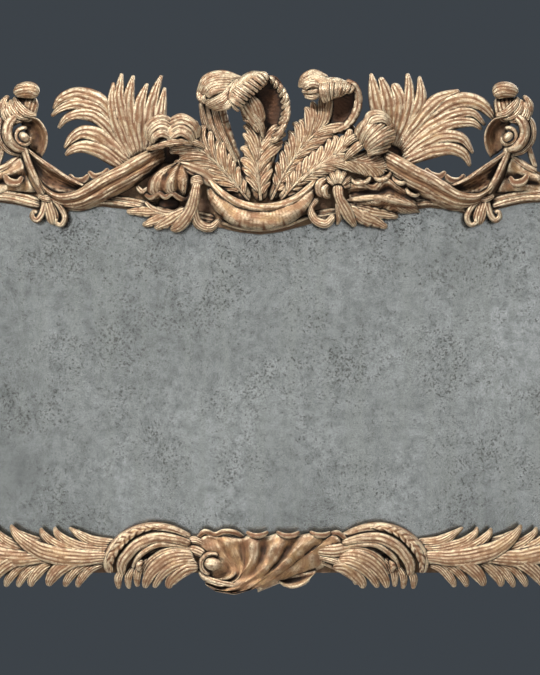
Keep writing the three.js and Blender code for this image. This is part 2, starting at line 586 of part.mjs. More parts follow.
// A countersunk screw driven towards -Y, with its head's face at x, y, z. grow gives the hole that it fits.
function screwSolid(length, [x, y, z], grow = 0) {
  const headDepth = SCREW_HEAD - SCREW_RADIUS;
  const profile = [
    [0, -length - grow],
    [SCREW_RADIUS * 0.5 + grow, -length - grow],
    [SCREW_RADIUS + grow, -length + 4],
    [SCREW_RADIUS + grow, -headDepth],
    [SCREW_HEAD + grow, 0],
    [SCREW_HEAD + grow, 2 * grow],
    [0, 2 * grow],
  ].filter(([r, h], i, all) => i === 0 || r !== all[i - 1][0] || h !== all[i - 1][1]);
  const turned = new THREE.LatheGeometry(profile.map(([r, h]) => new THREE.Vector2(r, h)), 8);
  turned.translate(x, y, z);
  return solidOf(turned);
}

// ---------- sub-frame ----------

const tenonY = [-rebateDepth - TENON_THICK, -rebateDepth];
const grown = ([low, high], by) => [low - by, high + by];
const topZ = [openZ, frameTop];
const bottomZ = [frameBottom, -openZ];

function tenon([z0, z1], sign, grow = 0) {
  const reach = [openX - 1, openX + TENON_LENGTH + grow];
  const span = [z0 + TENON_SHOULDER, z1 - TENON_SHOULDER];
  return boxSolid(sign > 0 ? reach : mirrored(reach), grown(tenonY, grow), grown(span, grow));
}

const screwsOfPanels = [];
const panelX = (MUNTIN_FACE / 2 + openX + REBATE) / 2;
for (const sign of [-1, 1]) {
  for (const up of [-1, 1]) {
    const z = up * (openZ + REBATE - JOINT_FIT - PANEL_SCREW_INSET);
    screwsOfPanels.push({
      name: "backboard_screw_" + (sign < 0 ? "left_" : "right_") + (up < 0 ? "bottom" : "top"),
      spot: [sign * panelX, -BACKBOARD_SINK, z],
    });
  }
}

// inner is the edge that faces the plate
function rail(span, inner) {
  const rebateZ = inner > 0 ? [inner, inner + REBATE] : [inner - REBATE, inner];
  let solid = boxSolid([-openX + SEAT, openX - SEAT], [-FRAME_DEPTH, 0], span);
  solid = solid.add(tenon(span, 1)).add(tenon(span, -1));
  solid = solid.subtract(boxSolid([-openX - 5, openX + 5], [-rebateDepth, 5], rebateZ));
  for (const { spot } of screwsOfPanels) {
    solid = solid.subtract(screwSolid(PANEL_SCREW_LENGTH, spot, JOINT_FIT));
  }
  return solid;
}
place("top_rail", pine, rail(topZ, openZ));
place("bottom_rail", pine, rail(bottomZ, -openZ));

const hangerScrewY = strapFront + STRAP_THICK;
const hangerScrewLength = FRAME_DEPTH + hangerScrewY - HANGER_SCREW_WALL;
const hangerScrewSpots = (x) => HANGER_SCREWS.map((drop) => [x, hangerScrewY, HANGER_HEIGHT + drop]);

function stile(sign) {
  const across = (range) => (sign > 0 ? range : mirrored(range));
  let solid = boxSolid(across([openX, frameX]), [-FRAME_DEPTH, 0], [frameBottom, frameTop]);
  for (const span of [topZ, bottomZ]) solid = solid.subtract(tenon(span, sign, JOINT_FIT));
  solid = solid.subtract(boxSolid(across([openX - 5, openX + REBATE]), [-rebateDepth, 5],
    [-openZ - REBATE, openZ + REBATE]));
  const pocketX = across([hangerX - POCKET_WIDTH / 2, hangerX + POCKET_WIDTH / 2]);
  solid = solid.subtract(boxSolid(pocketX, [-POCKET_DEPTH, 5], [POCKET_BOTTOM, POCKET_TOP]));
  for (const spot of hangerScrewSpots(sign * hangerX)) {
    solid = solid.subtract(screwSolid(hangerScrewLength, spot, JOINT_FIT));
  }
  return solid;
}
place("left_stile", pine, stile(-1));
place("right_stile", pine, stile(1));

// A tee: a stem between the backboards, wings under them, and its two ends lapped into the rails' rebates.
function muntin() {
  const stem = [-MUNTIN_FACE / 2, MUNTIN_FACE / 2];
  const clear = grown([-openZ, openZ], -SEAT);
  const lapped = grown([-openZ, openZ], REBATE - JOINT_FIT);
  return join([
    boxSolid(grown(stem, MUNTIN_WING), [silverBack + MUNTIN_CLEAR, -rebateDepth], clear),
    boxSolid(stem, [-rebateDepth - 1, -rebateDepth + 1], clear),
    boxSolid(stem, [-rebateDepth + SEAT, 0], lapped),
  ]);
}
place("centre_muntin", pine, muntin());

const panelSpan = [MUNTIN_FACE / 2 + JOINT_FIT, openX + REBATE - JOINT_FIT];
const panelBack = -BACKBOARD_SINK + SEAT;
for (const [name, sign] of [["backboard_left", -1], ["backboard_right", 1]]) {
  let panel = boxSolid(sign > 0 ? panelSpan : mirrored(panelSpan),
    [panelBack - BACKBOARD_THICK, panelBack], grown([-openZ, openZ], REBATE - JOINT_FIT));
  for (const { spot } of screwsOfPanels) {
    panel = panel.subtract(screwSolid(PANEL_SCREW_LENGTH, spot, JOINT_FIT));
  }
  place(name, pine, panel);
}
for (const { name, spot } of screwsOfPanels) place(name, steel, screwSolid(PANEL_SCREW_LENGTH, spot));

// ---------- glazing blocks ----------

// A three-cornered block glued in the angle between the frame's edge and the back of the plate.
const blockY = silverBack + SEAT;
function blockSolid(length) {
  const legs = [[0, 0], [-BLOCK_LEG, 0], [0, panelBack - BACKBOARD_THICK - BLOCK_CLEAR - blockY]];
  const corner = new THREE.Shape(legs.map(([a, b]) => new THREE.Vector2(a, b)));
  const block = new THREE.ExtrudeGeometry(corner, { depth: length, bevelEnabled: false });
  block.translate(0, 0, -length / 2);
  return block;
}
const blockSpots = [
  ["glazing_block_top_left", -BLOCK_OFFSET, openZ - SEAT, 0],
  ["glazing_block_top_right", BLOCK_OFFSET, openZ - SEAT, 0],
  ["glazing_block_right", openX - SEAT, 0, Math.PI / 2],
  ["glazing_block_bottom_right", BLOCK_OFFSET, -openZ + SEAT, Math.PI],
  ["glazing_block_bottom_left", -BLOCK_OFFSET, -openZ + SEAT, Math.PI],
  ["glazing_block_left", -openX + SEAT, 0, -Math.PI / 2],
];
for (const [name, x, z, turn] of blockSpots) {
  const block = blockSolid(BLOCK_LENGTH);
  block.applyMatrix4(new THREE.Matrix4().makeBasis( // shape x to z, shape y to y, length to x
    new THREE.Vector3(0, 0, 1), new THREE.Vector3(0, 1, 0), new THREE.Vector3(-1, 0, 0)));
  block.rotateY(turn);
  block.translate(x, blockY, z);
  place(name, pine, solidOf(block));
}

// ---------- hangers ----------

function strapSolid(x) {
  const barrelShape = new THREE.Shape().absarc(0, 0, BARREL_RADIUS, 0, 2 * Math.PI, false);
  barrelShape.holes.push(new THREE.Path().absarc(0, 0, RING_WIRE / 2 + RING_PLAY, 0, 2 * Math.PI, true));
  const barrel = new THREE.ExtrudeGeometry(barrelShape,
    { depth: STRAP_WIDTH, bevelEnabled: false, curveSegments: 8 });
  barrel.translate(0, 0, -STRAP_WIDTH / 2);
  barrel.rotateY(Math.PI / 2);
  barrel.translate(x, barrelY, HANGER_HEIGHT);
  const plateTop = HANGER_HEIGHT - RING_WIRE / 2 - RING_PLAY - 0.6;
  let solid = boxSolid([x - STRAP_WIDTH / 2, x + STRAP_WIDTH / 2], [strapFront, strapFront + STRAP_THICK],
    [HANGER_HEIGHT - STRAP_LENGTH, plateTop]).add(solidOf(barrel));
  for (const spot of hangerScrewSpots(x)) {
    solid = solid.subtract(screwSolid(hangerScrewLength, spot, JOINT_FIT));
  }
  return solid;
}

function ringSolid(x) {
  const half = (RING_INSIDE + RING_WIRE) / 2;
  const bar = new THREE.CylinderGeometry(RING_WIRE / 2, RING_WIRE / 2, 2 * half + RING_WIRE, 12);
  bar.rotateZ(Math.PI / 2);
  bar.translate(x, barrelY, HANGER_HEIGHT);
  const bend = [[-half, 0], [-half - 1, -0.4], [-0.6 * half, -0.88], [0, -1], [0.6 * half, -0.88],
    [half + 1, -0.4], [half, 0]];
  const bow = new THREE.CatmullRomCurve3(
    bend.map(([dx, drop]) => new THREE.Vector3(x + dx, barrelY, HANGER_HEIGHT + drop * RING_DROP)));
  const section = new THREE.Shape().absarc(0, 0, RING_WIRE / 2, 0, 2 * Math.PI, false);
  const wire = new THREE.ExtrudeGeometry(section, { steps: 16, extrudePath: bow, curveSegments: 3 });
  return solidOf(bar).add(solidOf(wire));
}

for (const [word, sign] of [["left", -1], ["right", 1]]) {
  const x = sign * hangerX;
  place("hanger_strap_" + word, brass, strapSolid(x));
  place("hanger_ring_" + word, brass, ringSolid(x));
  hangerScrewSpots(x).forEach((spot, i) => {
    const name = "hanger_screw_" + word + (i === 0 ? "_upper" : "_lower");
    place(name, steel, screwSolid(hangerScrewLength, spot));
  });
}

export default group;
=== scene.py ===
import bpy
import json
import math
import random
import numpy as np
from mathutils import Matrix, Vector
from mathutils.bvhtree import BVHTree

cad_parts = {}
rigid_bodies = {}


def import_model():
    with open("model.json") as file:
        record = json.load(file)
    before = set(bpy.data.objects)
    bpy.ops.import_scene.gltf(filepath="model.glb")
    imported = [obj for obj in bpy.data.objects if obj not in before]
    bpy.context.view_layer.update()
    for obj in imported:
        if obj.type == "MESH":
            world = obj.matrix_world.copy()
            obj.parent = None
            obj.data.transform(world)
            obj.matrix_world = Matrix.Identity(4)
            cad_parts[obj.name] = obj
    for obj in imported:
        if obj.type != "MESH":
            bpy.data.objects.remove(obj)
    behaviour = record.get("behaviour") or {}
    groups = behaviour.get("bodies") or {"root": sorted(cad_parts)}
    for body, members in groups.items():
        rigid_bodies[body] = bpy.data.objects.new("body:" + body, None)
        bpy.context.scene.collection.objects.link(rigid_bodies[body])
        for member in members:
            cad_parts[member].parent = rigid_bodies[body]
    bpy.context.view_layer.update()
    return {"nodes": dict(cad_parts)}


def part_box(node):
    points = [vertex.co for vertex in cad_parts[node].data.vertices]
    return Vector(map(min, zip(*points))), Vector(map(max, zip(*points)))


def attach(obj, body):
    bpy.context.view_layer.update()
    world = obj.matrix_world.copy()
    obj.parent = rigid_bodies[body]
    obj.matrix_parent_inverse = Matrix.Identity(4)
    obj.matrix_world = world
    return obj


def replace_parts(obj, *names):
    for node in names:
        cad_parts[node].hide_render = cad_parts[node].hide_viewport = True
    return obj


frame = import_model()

print("frame loaded:", len(frame["nodes"]), "parts")

# A giltwood overmantel mirror. Patterns are in millimetres, as the carver's drawing would be; the pieces
# are in metres. The front faces -Y and the wall is y = 0.

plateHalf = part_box("glass_plate")[1]
plateX = round(1000 * plateHalf[0])
plateZ = round(1000 * plateHalf[2])
crestGround = round(-1000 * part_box("crest_board")[0][1], 1) + 0.3  # how far forward the carving begins
baseGround = round(-1000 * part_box("lower_sight_rail")[0][1], 1) + 0.3
sideGround = 30.3

carved = []  # every gilded object, for the painted shade of the hollows


# camera, light and floor

eyeDistance, eyeHeight = 4.53, 0.071  # of the viewpoint, m
view = {"lens": 120, "spot": (0.008, -eyeDistance, eyeHeight)}
cameraData = bpy.data.cameras.new("frontCamera")
cameraData.lens = view["lens"]
camera = bpy.data.objects.new("frontCamera", cameraData)
camera.location = view["spot"]
camera.rotation_euler = (math.pi / 2, 0, 0)
bpy.context.scene.collection.objects.link(camera)
bpy.context.scene.camera = camera
bpy.context.scene.view_settings.view_transform = "Standard"


def softLight(name, spot, aim, size, power, colour, spread=180):
    data = bpy.data.lights.new(name, "AREA")
    data.shape = "RECTANGLE"
    data.size, data.size_y = size
    data.energy = power
    data.color = colour
    data.spread = math.radians(spread)
    lamp = bpy.data.objects.new(name, data)
    lamp.location = spot
    lamp.rotation_euler = (Vector(aim) - Vector(spot)).to_track_quat("-Z", "Y").to_euler()
    bpy.context.scene.collection.objects.link(lamp)


lamps = {
    "keySoftbox": dict(spot=(-1.7, -3.2, 2.9), aim=(0, 0, 0), size=(0.9, 0.8), power=178,
                       colour=(1, 0.96, 0.90)),
    "baseSoftbox": dict(spot=(-1.6, -3.3, 2.0), aim=(0, 0, -0.45), size=(0.8, 0.6), power=1.7,
                        colour=(1, 0.96, 0.90), spread=26),
    "topSoftbox": dict(spot=(1.0, -1.4, 3.2), aim=(0, -0.05, 0), size=(1.6, 0.5), power=52,
                       colour=(1, 0.97, 0.93)),
    "fillSoftbox": dict(spot=(2.2, -3.6, 0.2), aim=(0, 0, 0), size=(1.2, 1.2), power=4,
                        colour=(0.95, 0.97, 1)),
    "plateReflector": dict(spot=(0, -5.6, 0.1), aim=(0, 0, 0.1), size=(4.2, 2.8), power=31,
                           colour=(1, 1, 1)),
    "backSoftbox": dict(spot=(1.6, 3.2, 2.0), aim=(0, 0, 0), size=(2.4, 2.4), power=50, colour=(1, 1, 1)),
}
for lampName, lamp in lamps.items():
    softLight(lampName, **lamp)

world = bpy.data.worlds.new("slateStudio")
bpy.context.scene.world = world
world.use_nodes = True
world.node_tree.nodes["Background"].inputs["Color"].default_value = (0.047, 0.056, 0.066, 1)
world.node_tree.nodes["Background"].inputs["Strength"].default_value = 1.0


# material helpers

def newMaterial(name):
    material = bpy.data.materials.new(name)
    material.use_nodes = True
    return material, material.node_tree, material.node_tree.nodes["Principled BSDF"]


def addNode(tree, kind, settings=None, **inputs):
    made = tree.nodes.new("ShaderNode" + kind)
    for key, value in (settings or {}).items():
        setattr(made, key, value)
    for key, value in inputs.items():
        socket = made.inputs[int(key[1:]) if key[0] == "i" and key[1:].isdigit() else key]
        if isinstance(value, bpy.types.NodeSocket):
            tree.links.new(value, socket)
        else:
            socket.default_value = value
    return made


def ramp(tree, factor, stops):
    made = tree.nodes.new("ShaderNodeValToRGB")
    tree.links.new(factor, made.inputs["Fac"])
    points = made.color_ramp.elements
    while len(points) < len(stops):
        points.new(0.5)
    for point, (place, colour) in zip(points, stops):
        point.position = place
        point.color = (*colour, 1) if isinstance(colour, tuple) else (colour, colour, colour, 1)
    return made.outputs["Color"]


def blendColours(tree, factor, first, second, mode="MIX"):
    made = tree.nodes.new("ShaderNodeMix")
    made.data_type = "RGBA"
    made.blend_type = mode
    for socket, value in ((made.inputs[0], factor), (made.inputs[6], first), (made.inputs[7], second)):
        if isinstance(value, bpy.types.NodeSocket):
            tree.links.new(value, socket)
        else:
            socket.default_value = (*value, 1) if isinstance(value, tuple) else value
    return made.outputs[2]


def maths(tree, operation, first, second=0.0, third=0.0, clamp=False):
    made = tree.nodes.new("ShaderNodeMath")
    made.operation = operation
    made.use_clamp = clamp
    for socket, value in zip(made.inputs, (first, second, third)):
        if isinstance(value, bpy.types.NodeSocket):
            tree.links.new(value, socket)
        else:
            socket.default_value = value
    return made.outputs[0]


def noiseOf(tree, vector, scale, detail=3.0, roughness=0.55):
    made = addNode(tree, "TexNoise", Scale=scale, Detail=detail, Roughness=roughness)
    tree.links.new(vector, made.inputs["Vector"])
    return made.outputs["Fac"]


def stretched(tree, vector, scale):
    made = addNode(tree, "Mapping", Vector=vector)
    made.inputs["Scale"].default_value = scale
    return made.outputs["Vector"]


def bumped(tree, shader, height, strength, distance):
    made = addNode(tree, "Bump", Strength=strength, Distance=distance, Height=height)
    tree.links.new(made.outputs["Normal"], shader.inputs["Normal"])


# finishes

gilding = {
    "rubbedHighlight": (1.0, 0.86, 0.62),
    "leaf": (0.61, 0.40, 0.205),
    "pinkLeaf": (0.47, 0.28, 0.17),
    "clay": (0.20, 0.085, 0.038),
    "paintedHollowShade": (0.022, 0.011, 0.006),
    "bareWood": (0.20, 0.12, 0.065),
    "streak": (0.34, 0.165, 0.075),
    "blotch": (0.37, 0.19, 0.105),
    "wornLeaf": (0.34, 0.17, 0.085),
}


def makeGilding(name, inShadow):
    material, tree, shader = newMaterial(name)
    coords = addNode(tree, "TexCoord").outputs
    flow = addNode(tree, "Attribute", {"attribute_name": "flow"}).outputs["Vector"]
    hollow = addNode(tree, "Attribute", {"attribute_name": "hollow"}).outputs["Fac"]
    groove = addNode(tree, "Attribute", {"attribute_name": "groove"}).outputs["Fac"]
    ridge = addNode(tree, "Attribute", {"attribute_name": "ridge"}).outputs["Fac"]
    grain = noiseOf(tree, stretched(tree, flow, (0.6, 0.05, 1)), 1.0, 4, 0.62)
    patches = noiseOf(tree, coords["Object"], 22, 4, 0.6)
    specks = noiseOf(tree, coords["Object"], 300, 3, 0.7)
    crumbs = noiseOf(tree, coords["Object"], 120, 4, 0.7)

    tone = ramp(tree, patches, [(0.38, gilding["pinkLeaf"]), (0.60, gilding["leaf"])])
    # pale leaf worn through at random, and a painted highlight on every convex ridge
    rubbedHighlight = maths(tree, "MULTIPLY_ADD", crumbs, 0.5, maths(tree, "MULTIPLY", ridge, 0.9))
    tone = blendColours(tree, ramp(tree, rubbedHighlight, [(0.24, 0.0), (0.56, 1.0)]), tone, gilding["rubbedHighlight"])
    streaks = ramp(tree, grain, [(0.34, 1.0), (0.52, 0.0)])
    tone = blendColours(tree, maths(tree, "MULTIPLY", streaks, 0.6), tone, gilding["streak"])
    blotches = noiseOf(tree, coords["Object"], 64, 4, 0.65)
    bare = ramp(tree, blotches, [(0.50, 0.0), (0.60, 0.72)])
    tone = blendColours(tree, bare, tone, gilding["blotch"])
    worn = ramp(tree, crumbs, [(0.50, 0.0), (0.62, 1.0)])
    tone = blendColours(tree, maths(tree, "MULTIPLY", worn, 0.65), tone, gilding["wornLeaf"])
    # brown clay in the gouge cuts; the hollows, a little of each cut and, by inShadow, the whole ground
    # board are darkened near black as painted shade
    inCuts = maths(tree, "MULTIPLY_ADD", groove, 1.0, maths(tree, "MULTIPLY", specks, 0.35))
    inCuts = ramp(tree, inCuts, [(0.22, 0.0), (0.75, 1.0)])
    tone = blendColours(tree, inCuts, tone, gilding["clay"])
    hollow = maths(tree, "ADD", maths(tree, "MULTIPLY_ADD", groove, 0.28, hollow), inShadow)
    deep = ramp(tree, maths(tree, "MULTIPLY_ADD", crumbs, 0.25, hollow), [(0.32, 0.0), (0.78, 1.0)])
    tone = blendColours(tree, deep, tone, gilding["paintedHollowShade"])
    # the backs of the carving are bare
    facing = addNode(tree, "SeparateXYZ", Vector=coords["Normal"]).outputs["Y"]
    behind = ramp(tree, facing, [(0.35, 0.0), (0.6, 1.0)])
    tone = blendColours(tree, behind, tone, gilding["bareWood"])
    tree.links.new(tone, shader.inputs["Base Color"])

    dull = maths(tree, "MAXIMUM", maths(tree, "MAXIMUM", deep, inCuts), behind)
    metal = maths(tree, "MULTIPLY_ADD", dull, -0.60, 0.60, clamp=True)
    tree.links.new(metal, shader.inputs["Metallic"])
    rough = maths(tree, "MULTIPLY_ADD", dull, 0.30, maths(tree, "MULTIPLY_ADD", crumbs, 0.25, 0.26))
    tree.links.new(rough, shader.inputs["Roughness"])
    height = maths(tree, "MULTIPLY_ADD", grain, 1.0, maths(tree, "MULTIPLY", crumbs, 0.8))
    bumped(tree, shader, height, 0.85, 0.0024)
    return material


pine = {
    "darkRing": (0.16, 0.085, 0.042), "wood": (0.30, 0.18, 0.095), "paleRing": (0.40, 0.26, 0.145),
    "fibre": (0.12, 0.065, 0.035), "dirt": (0.085, 0.055, 0.036),
}


def makePine(name, along):
    material, tree, shader = newMaterial(name)
    coords = addNode(tree, "TexCoord").outputs["Object"]
    long = [60, 60, 60]
    long["xyz".index(along)] = 2.2
    fine = [520, 520, 520]
    fine["xyz".index(along)] = 9
    rings = noiseOf(tree, stretched(tree, coords, long), 1.0, 4, 0.6)
    fibres = noiseOf(tree, stretched(tree, coords, fine), 1.0, 3, 0.6)
    stains = noiseOf(tree, coords, 7, 3)
    tone = ramp(tree, rings, [(0.30, pine["darkRing"]), (0.5, pine["wood"]), (0.66, pine["paleRing"])])
    fibreLines = ramp(tree, fibres, [(0.4, 1.0), (0.6, 0.0)])
    tone = blendColours(tree, maths(tree, "MULTIPLY", fibreLines, 0.35), tone, pine["fibre"])
    dirt = ramp(tree, stains, [(0.45, 0.0), (0.7, 1.0)])
    tone = blendColours(tree, maths(tree, "MULTIPLY", dirt, 0.5), tone, pine["dirt"])
    tree.links.new(tone, shader.inputs["Base Color"])
    tree.links.new(maths(tree, "MULTIPLY_ADD", fibres, 0.25, 0.62), shader.inputs["Roughness"])
    bumped(tree, shader, fibres, 0.35, 0.0008)
    return material


silver = {
    "clouded": (0.46, 0.475, 0.465), "clear": (0.76, 0.78, 0.77), "mottled": (0.22, 0.24, 0.225),
    "drift": (0.60, 0.62, 0.59), "grit": (0.20, 0.215, 0.205), "foxed": (0.11, 0.11, 0.10),
}


def makeSilvering():
    material, tree, shader = newMaterial("foxedSilvering")
    coords = addNode(tree, "TexCoord").outputs["Object"]
    clouds = noiseOf(tree, coords, 3.2, 4, 0.6)
    mottle = noiseOf(tree, coords, 40, 5, 0.7)
    drift = noiseOf(tree, stretched(tree, coords, (30, 1, 3)), 1.0, 3, 0.6)
    pepper = noiseOf(tree, coords, 260, 2, 0.5)
    grit = noiseOf(tree, coords, 620, 2, 0.6)
    where = noiseOf(tree, coords, 9, 4, 0.65)
    spots = noiseOf(tree, coords, 90, 3, 0.55)
    tone = ramp(tree, clouds, [(0.34, silver["clouded"]), (0.66, silver["clear"])])
    tone = blendColours(tree, ramp(tree, mottle, [(0.36, 0.55), (0.56, 0.0)]), tone, silver["mottled"])
    tone = blendColours(tree, ramp(tree, drift, [(0.46, 0.0), (0.66, 0.6)]), tone, silver["drift"])
    tone = blendColours(tree, ramp(tree, grit, [(0.36, 0.5), (0.60, 0.0)]), tone, silver["grit"])
    # foxing: clustered dark specks, thicker where the damp got in
    gather = ramp(tree, where, [(0.38, 0.0), (0.66, 0.14)])
    foxing = ramp(tree, maths(tree, "ADD", pepper, gather), [(0.66, 0.0), (0.76, 1.0)])
    blots = ramp(tree, maths(tree, "ADD", spots, maths(tree, "MULTIPLY", gather, 0.6)),
                 [(0.69, 0.0), (0.78, 1.0)])
    marks = maths(tree, "MAXIMUM", maths(tree, "MULTIPLY", foxing, 0.8),
                  maths(tree, "MULTIPLY", blots, 0.6))
    tone = blendColours(tree, marks, tone, silver["foxed"])
    tree.links.new(tone, shader.inputs["Base Color"])
    tree.links.new(maths(tree, "MULTIPLY_ADD", marks, -0.3, 0.96), shader.inputs["Metallic"])
    tree.links.new(maths(tree, "MULTIPLY_ADD", mottle, 0.08, 0.15), shader.inputs["Roughness"])
    bumped(tree, shader, mottle, 0.04, 0.0005)
    return material


def makeGlass():
    material, tree, shader = newMaterial("oldPlateGlass")
    coords = addNode(tree, "TexCoord").outputs["Object"]
    waves = noiseOf(tree, coords, 5, 2)
    tone = ramp(tree, waves, [(0.3, (0.035, 0.046, 0.041)), (0.7, (0.055, 0.068, 0.062))])
    tree.links.new(tone, shader.inputs["Base Color"])
    tree.links.new(maths(tree, "MULTIPLY_ADD", waves, 0.05, 0.03), shader.inputs["Roughness"])
    shader.inputs["Alpha"].default_value = 0.12
    bumped(tree, shader, waves, 0.05, 0.001)
    return material


def makeMetal(name, bright, dark, roughness):
    material, tree, shader = newMaterial(name)
    coords = addNode(tree, "TexCoord").outputs["Object"]
    tarnish = noiseOf(tree, coords, 160, 4, 0.65)
    scratches = noiseOf(tree, stretched(tree, coords, (900, 900, 60)), 1.0, 2)
    tree.links.new(ramp(tree, tarnish, [(0.35, dark), (0.62, bright)]), shader.inputs["Base Color"])
    shader.inputs["Metallic"].default_value = 0.9
    tree.links.new(maths(tree, "MULTIPLY_ADD", tarnish, 0.3, roughness), shader.inputs["Roughness"])
    bumped(tree, shader, scratches, 0.2, 0.0003)
    return material


def makeFloor():
    material, tree, shader = newMaterial("paleFloor")
    coords = addNode(tree, "TexCoord").outputs["Object"]
    tone = ramp(tree, noiseOf(tree, coords, 1.5, 3), [(0.3, (0.60, 0.59, 0.57)), (0.7, (0.66, 0.65, 0.63))])
    tree.links.new(tone, shader.inputs["Base Color"])
    shader.inputs["Roughness"].default_value = 0.9
    return material


giltMaterial = makeGilding("rubbedWaterGildingPaintedLight", 0.0)
# the board behind the carving: gilding with extra painted shade over all of it (inShadow 0.45)
groundMaterial = makeGilding("gildedGroundPaintedShade", 0.45)
finishes = {
    "pineAlong": makePine("oldPineAlong", "x"),
    "pineUpright": makePine("oldPineUpright", "z"),
    "silvering": makeSilvering(),
    "glass": makeGlass(),
    "brass": makeMetal("dullBrass", (0.58, 0.42, 0.19), (0.22, 0.14, 0.06), 0.32),
    "steel": makeMetal("dullSteel", (0.34, 0.32, 0.30), (0.12, 0.10, 0.09), 0.40),
}
print("finishes mixed")


def meshObject(name, points, faces, material, smooth=True):
    mesh = bpy.data.meshes.new(name)
    mesh.from_pydata(points, [], faces)
    mesh.polygons.foreach_set("use_smooth", [smooth] * len(mesh.polygons))
    mesh.update()
    made = bpy.data.objects.new(name, mesh)
    made.data.materials.append(material)
    bpy.context.scene.collection.objects.link(made)
    return made


floorSize = {"half": 4.0, "height": -1.7}
floorCorners = [(-1, -1), (1, -1), (1, 1), (-1, 1)]
floor = meshObject("paleFloor", [(x * floorSize["half"], y * floorSize["half"], floorSize["height"])
                                 for x, y in floorCorners], [(0, 1, 2, 3)], makeFloor(), False)


# how a stroke is carved

# What a gouge leaves on a stroke. reeds: ridges along it; ribs: spacing of the cuts across it, which lean
# towards the tip; dish: how deep the middle is hollowed; lobes: spacing of the scallops of its edge;
# crown: how square its section is; wander: how uneven; shade: painted shade, as clay colour and darkening,
# on the whole of it.
plainCut = dict(reeds=0, reedDepth=0, ribs=0, ribDepth=0, lean=0, rachis=0, dish=0, lobes=0, lobeDepth=0,
                crown=2.2, back=0.9, wander=0.5, spacing=3.0, serrate=0, columns=0, roll=0, twist=0,
                shade=0)


def cutLike(**changes):
    return {**plainCut, **changes}


frondCut = cutLike(reeds=3, reedDepth=2.6, wander=0.6)
leafCut = cutLike(reeds=4, reedDepth=2.0, wander=0.7)
lobedCut = cutLike(reeds=4, reedDepth=1.9, lobes=17, lobeDepth=0.16, wander=0.8)
curlCut = cutLike(reeds=7, reedDepth=1.7, wander=0.9, crown=2.6, spacing=2.2)
reedCut = cutLike(reeds=2, reedDepth=2.2, wander=0.3)
rollCut = cutLike(wander=0.6)


def denseCurve(knots):
    ends = np.vstack([2 * knots[0] - knots[1], knots, 2 * knots[-1] - knots[-2]])
    gaps = np.maximum(np.linalg.norm(np.diff(ends[:, :3], axis=0), axis=1), 1e-3) ** 0.5
    u = np.linspace(0, 1, 20, endpoint=False)[:, None]
    pieces = []
    for i in range(1, len(ends) - 2):
        before, here, after = gaps[i - 1:i + 2]
        p0, p1, p2, p3 = ends[i - 1:i + 3]
        leave = ((p1 - p0) / before - (p2 - p0) / (before + here) + (p2 - p1) / here) * here
        arrive = ((p2 - p1) / here - (p3 - p1) / (here + after) + (p3 - p2) / after) * here
        pieces.append((2 * u**3 - 3 * u**2 + 1) * p1 + (u**3 - 2 * u**2 + u) * leave
                      + (3 * u**2 - 2 * u**3) * p2 + (u**3 - u**2) * arrive)
    pieces.append(knots[-1:])
    return np.vstack(pieces)


def ridged(phase):
    return np.abs(np.sin(math.pi * phase))


def insideOut(points, quads, caps):
    tri = np.vstack([quads[:, [0, 1, 2]], quads[:, [0, 2, 3]], caps])
    p, q, r = points[tri[:, 0]], points[tri[:, 1]], points[tri[:, 2]]
    return np.einsum("ij,ij->i", p - points[0], np.cross(q - points[0], r - points[0])).sum() < 0


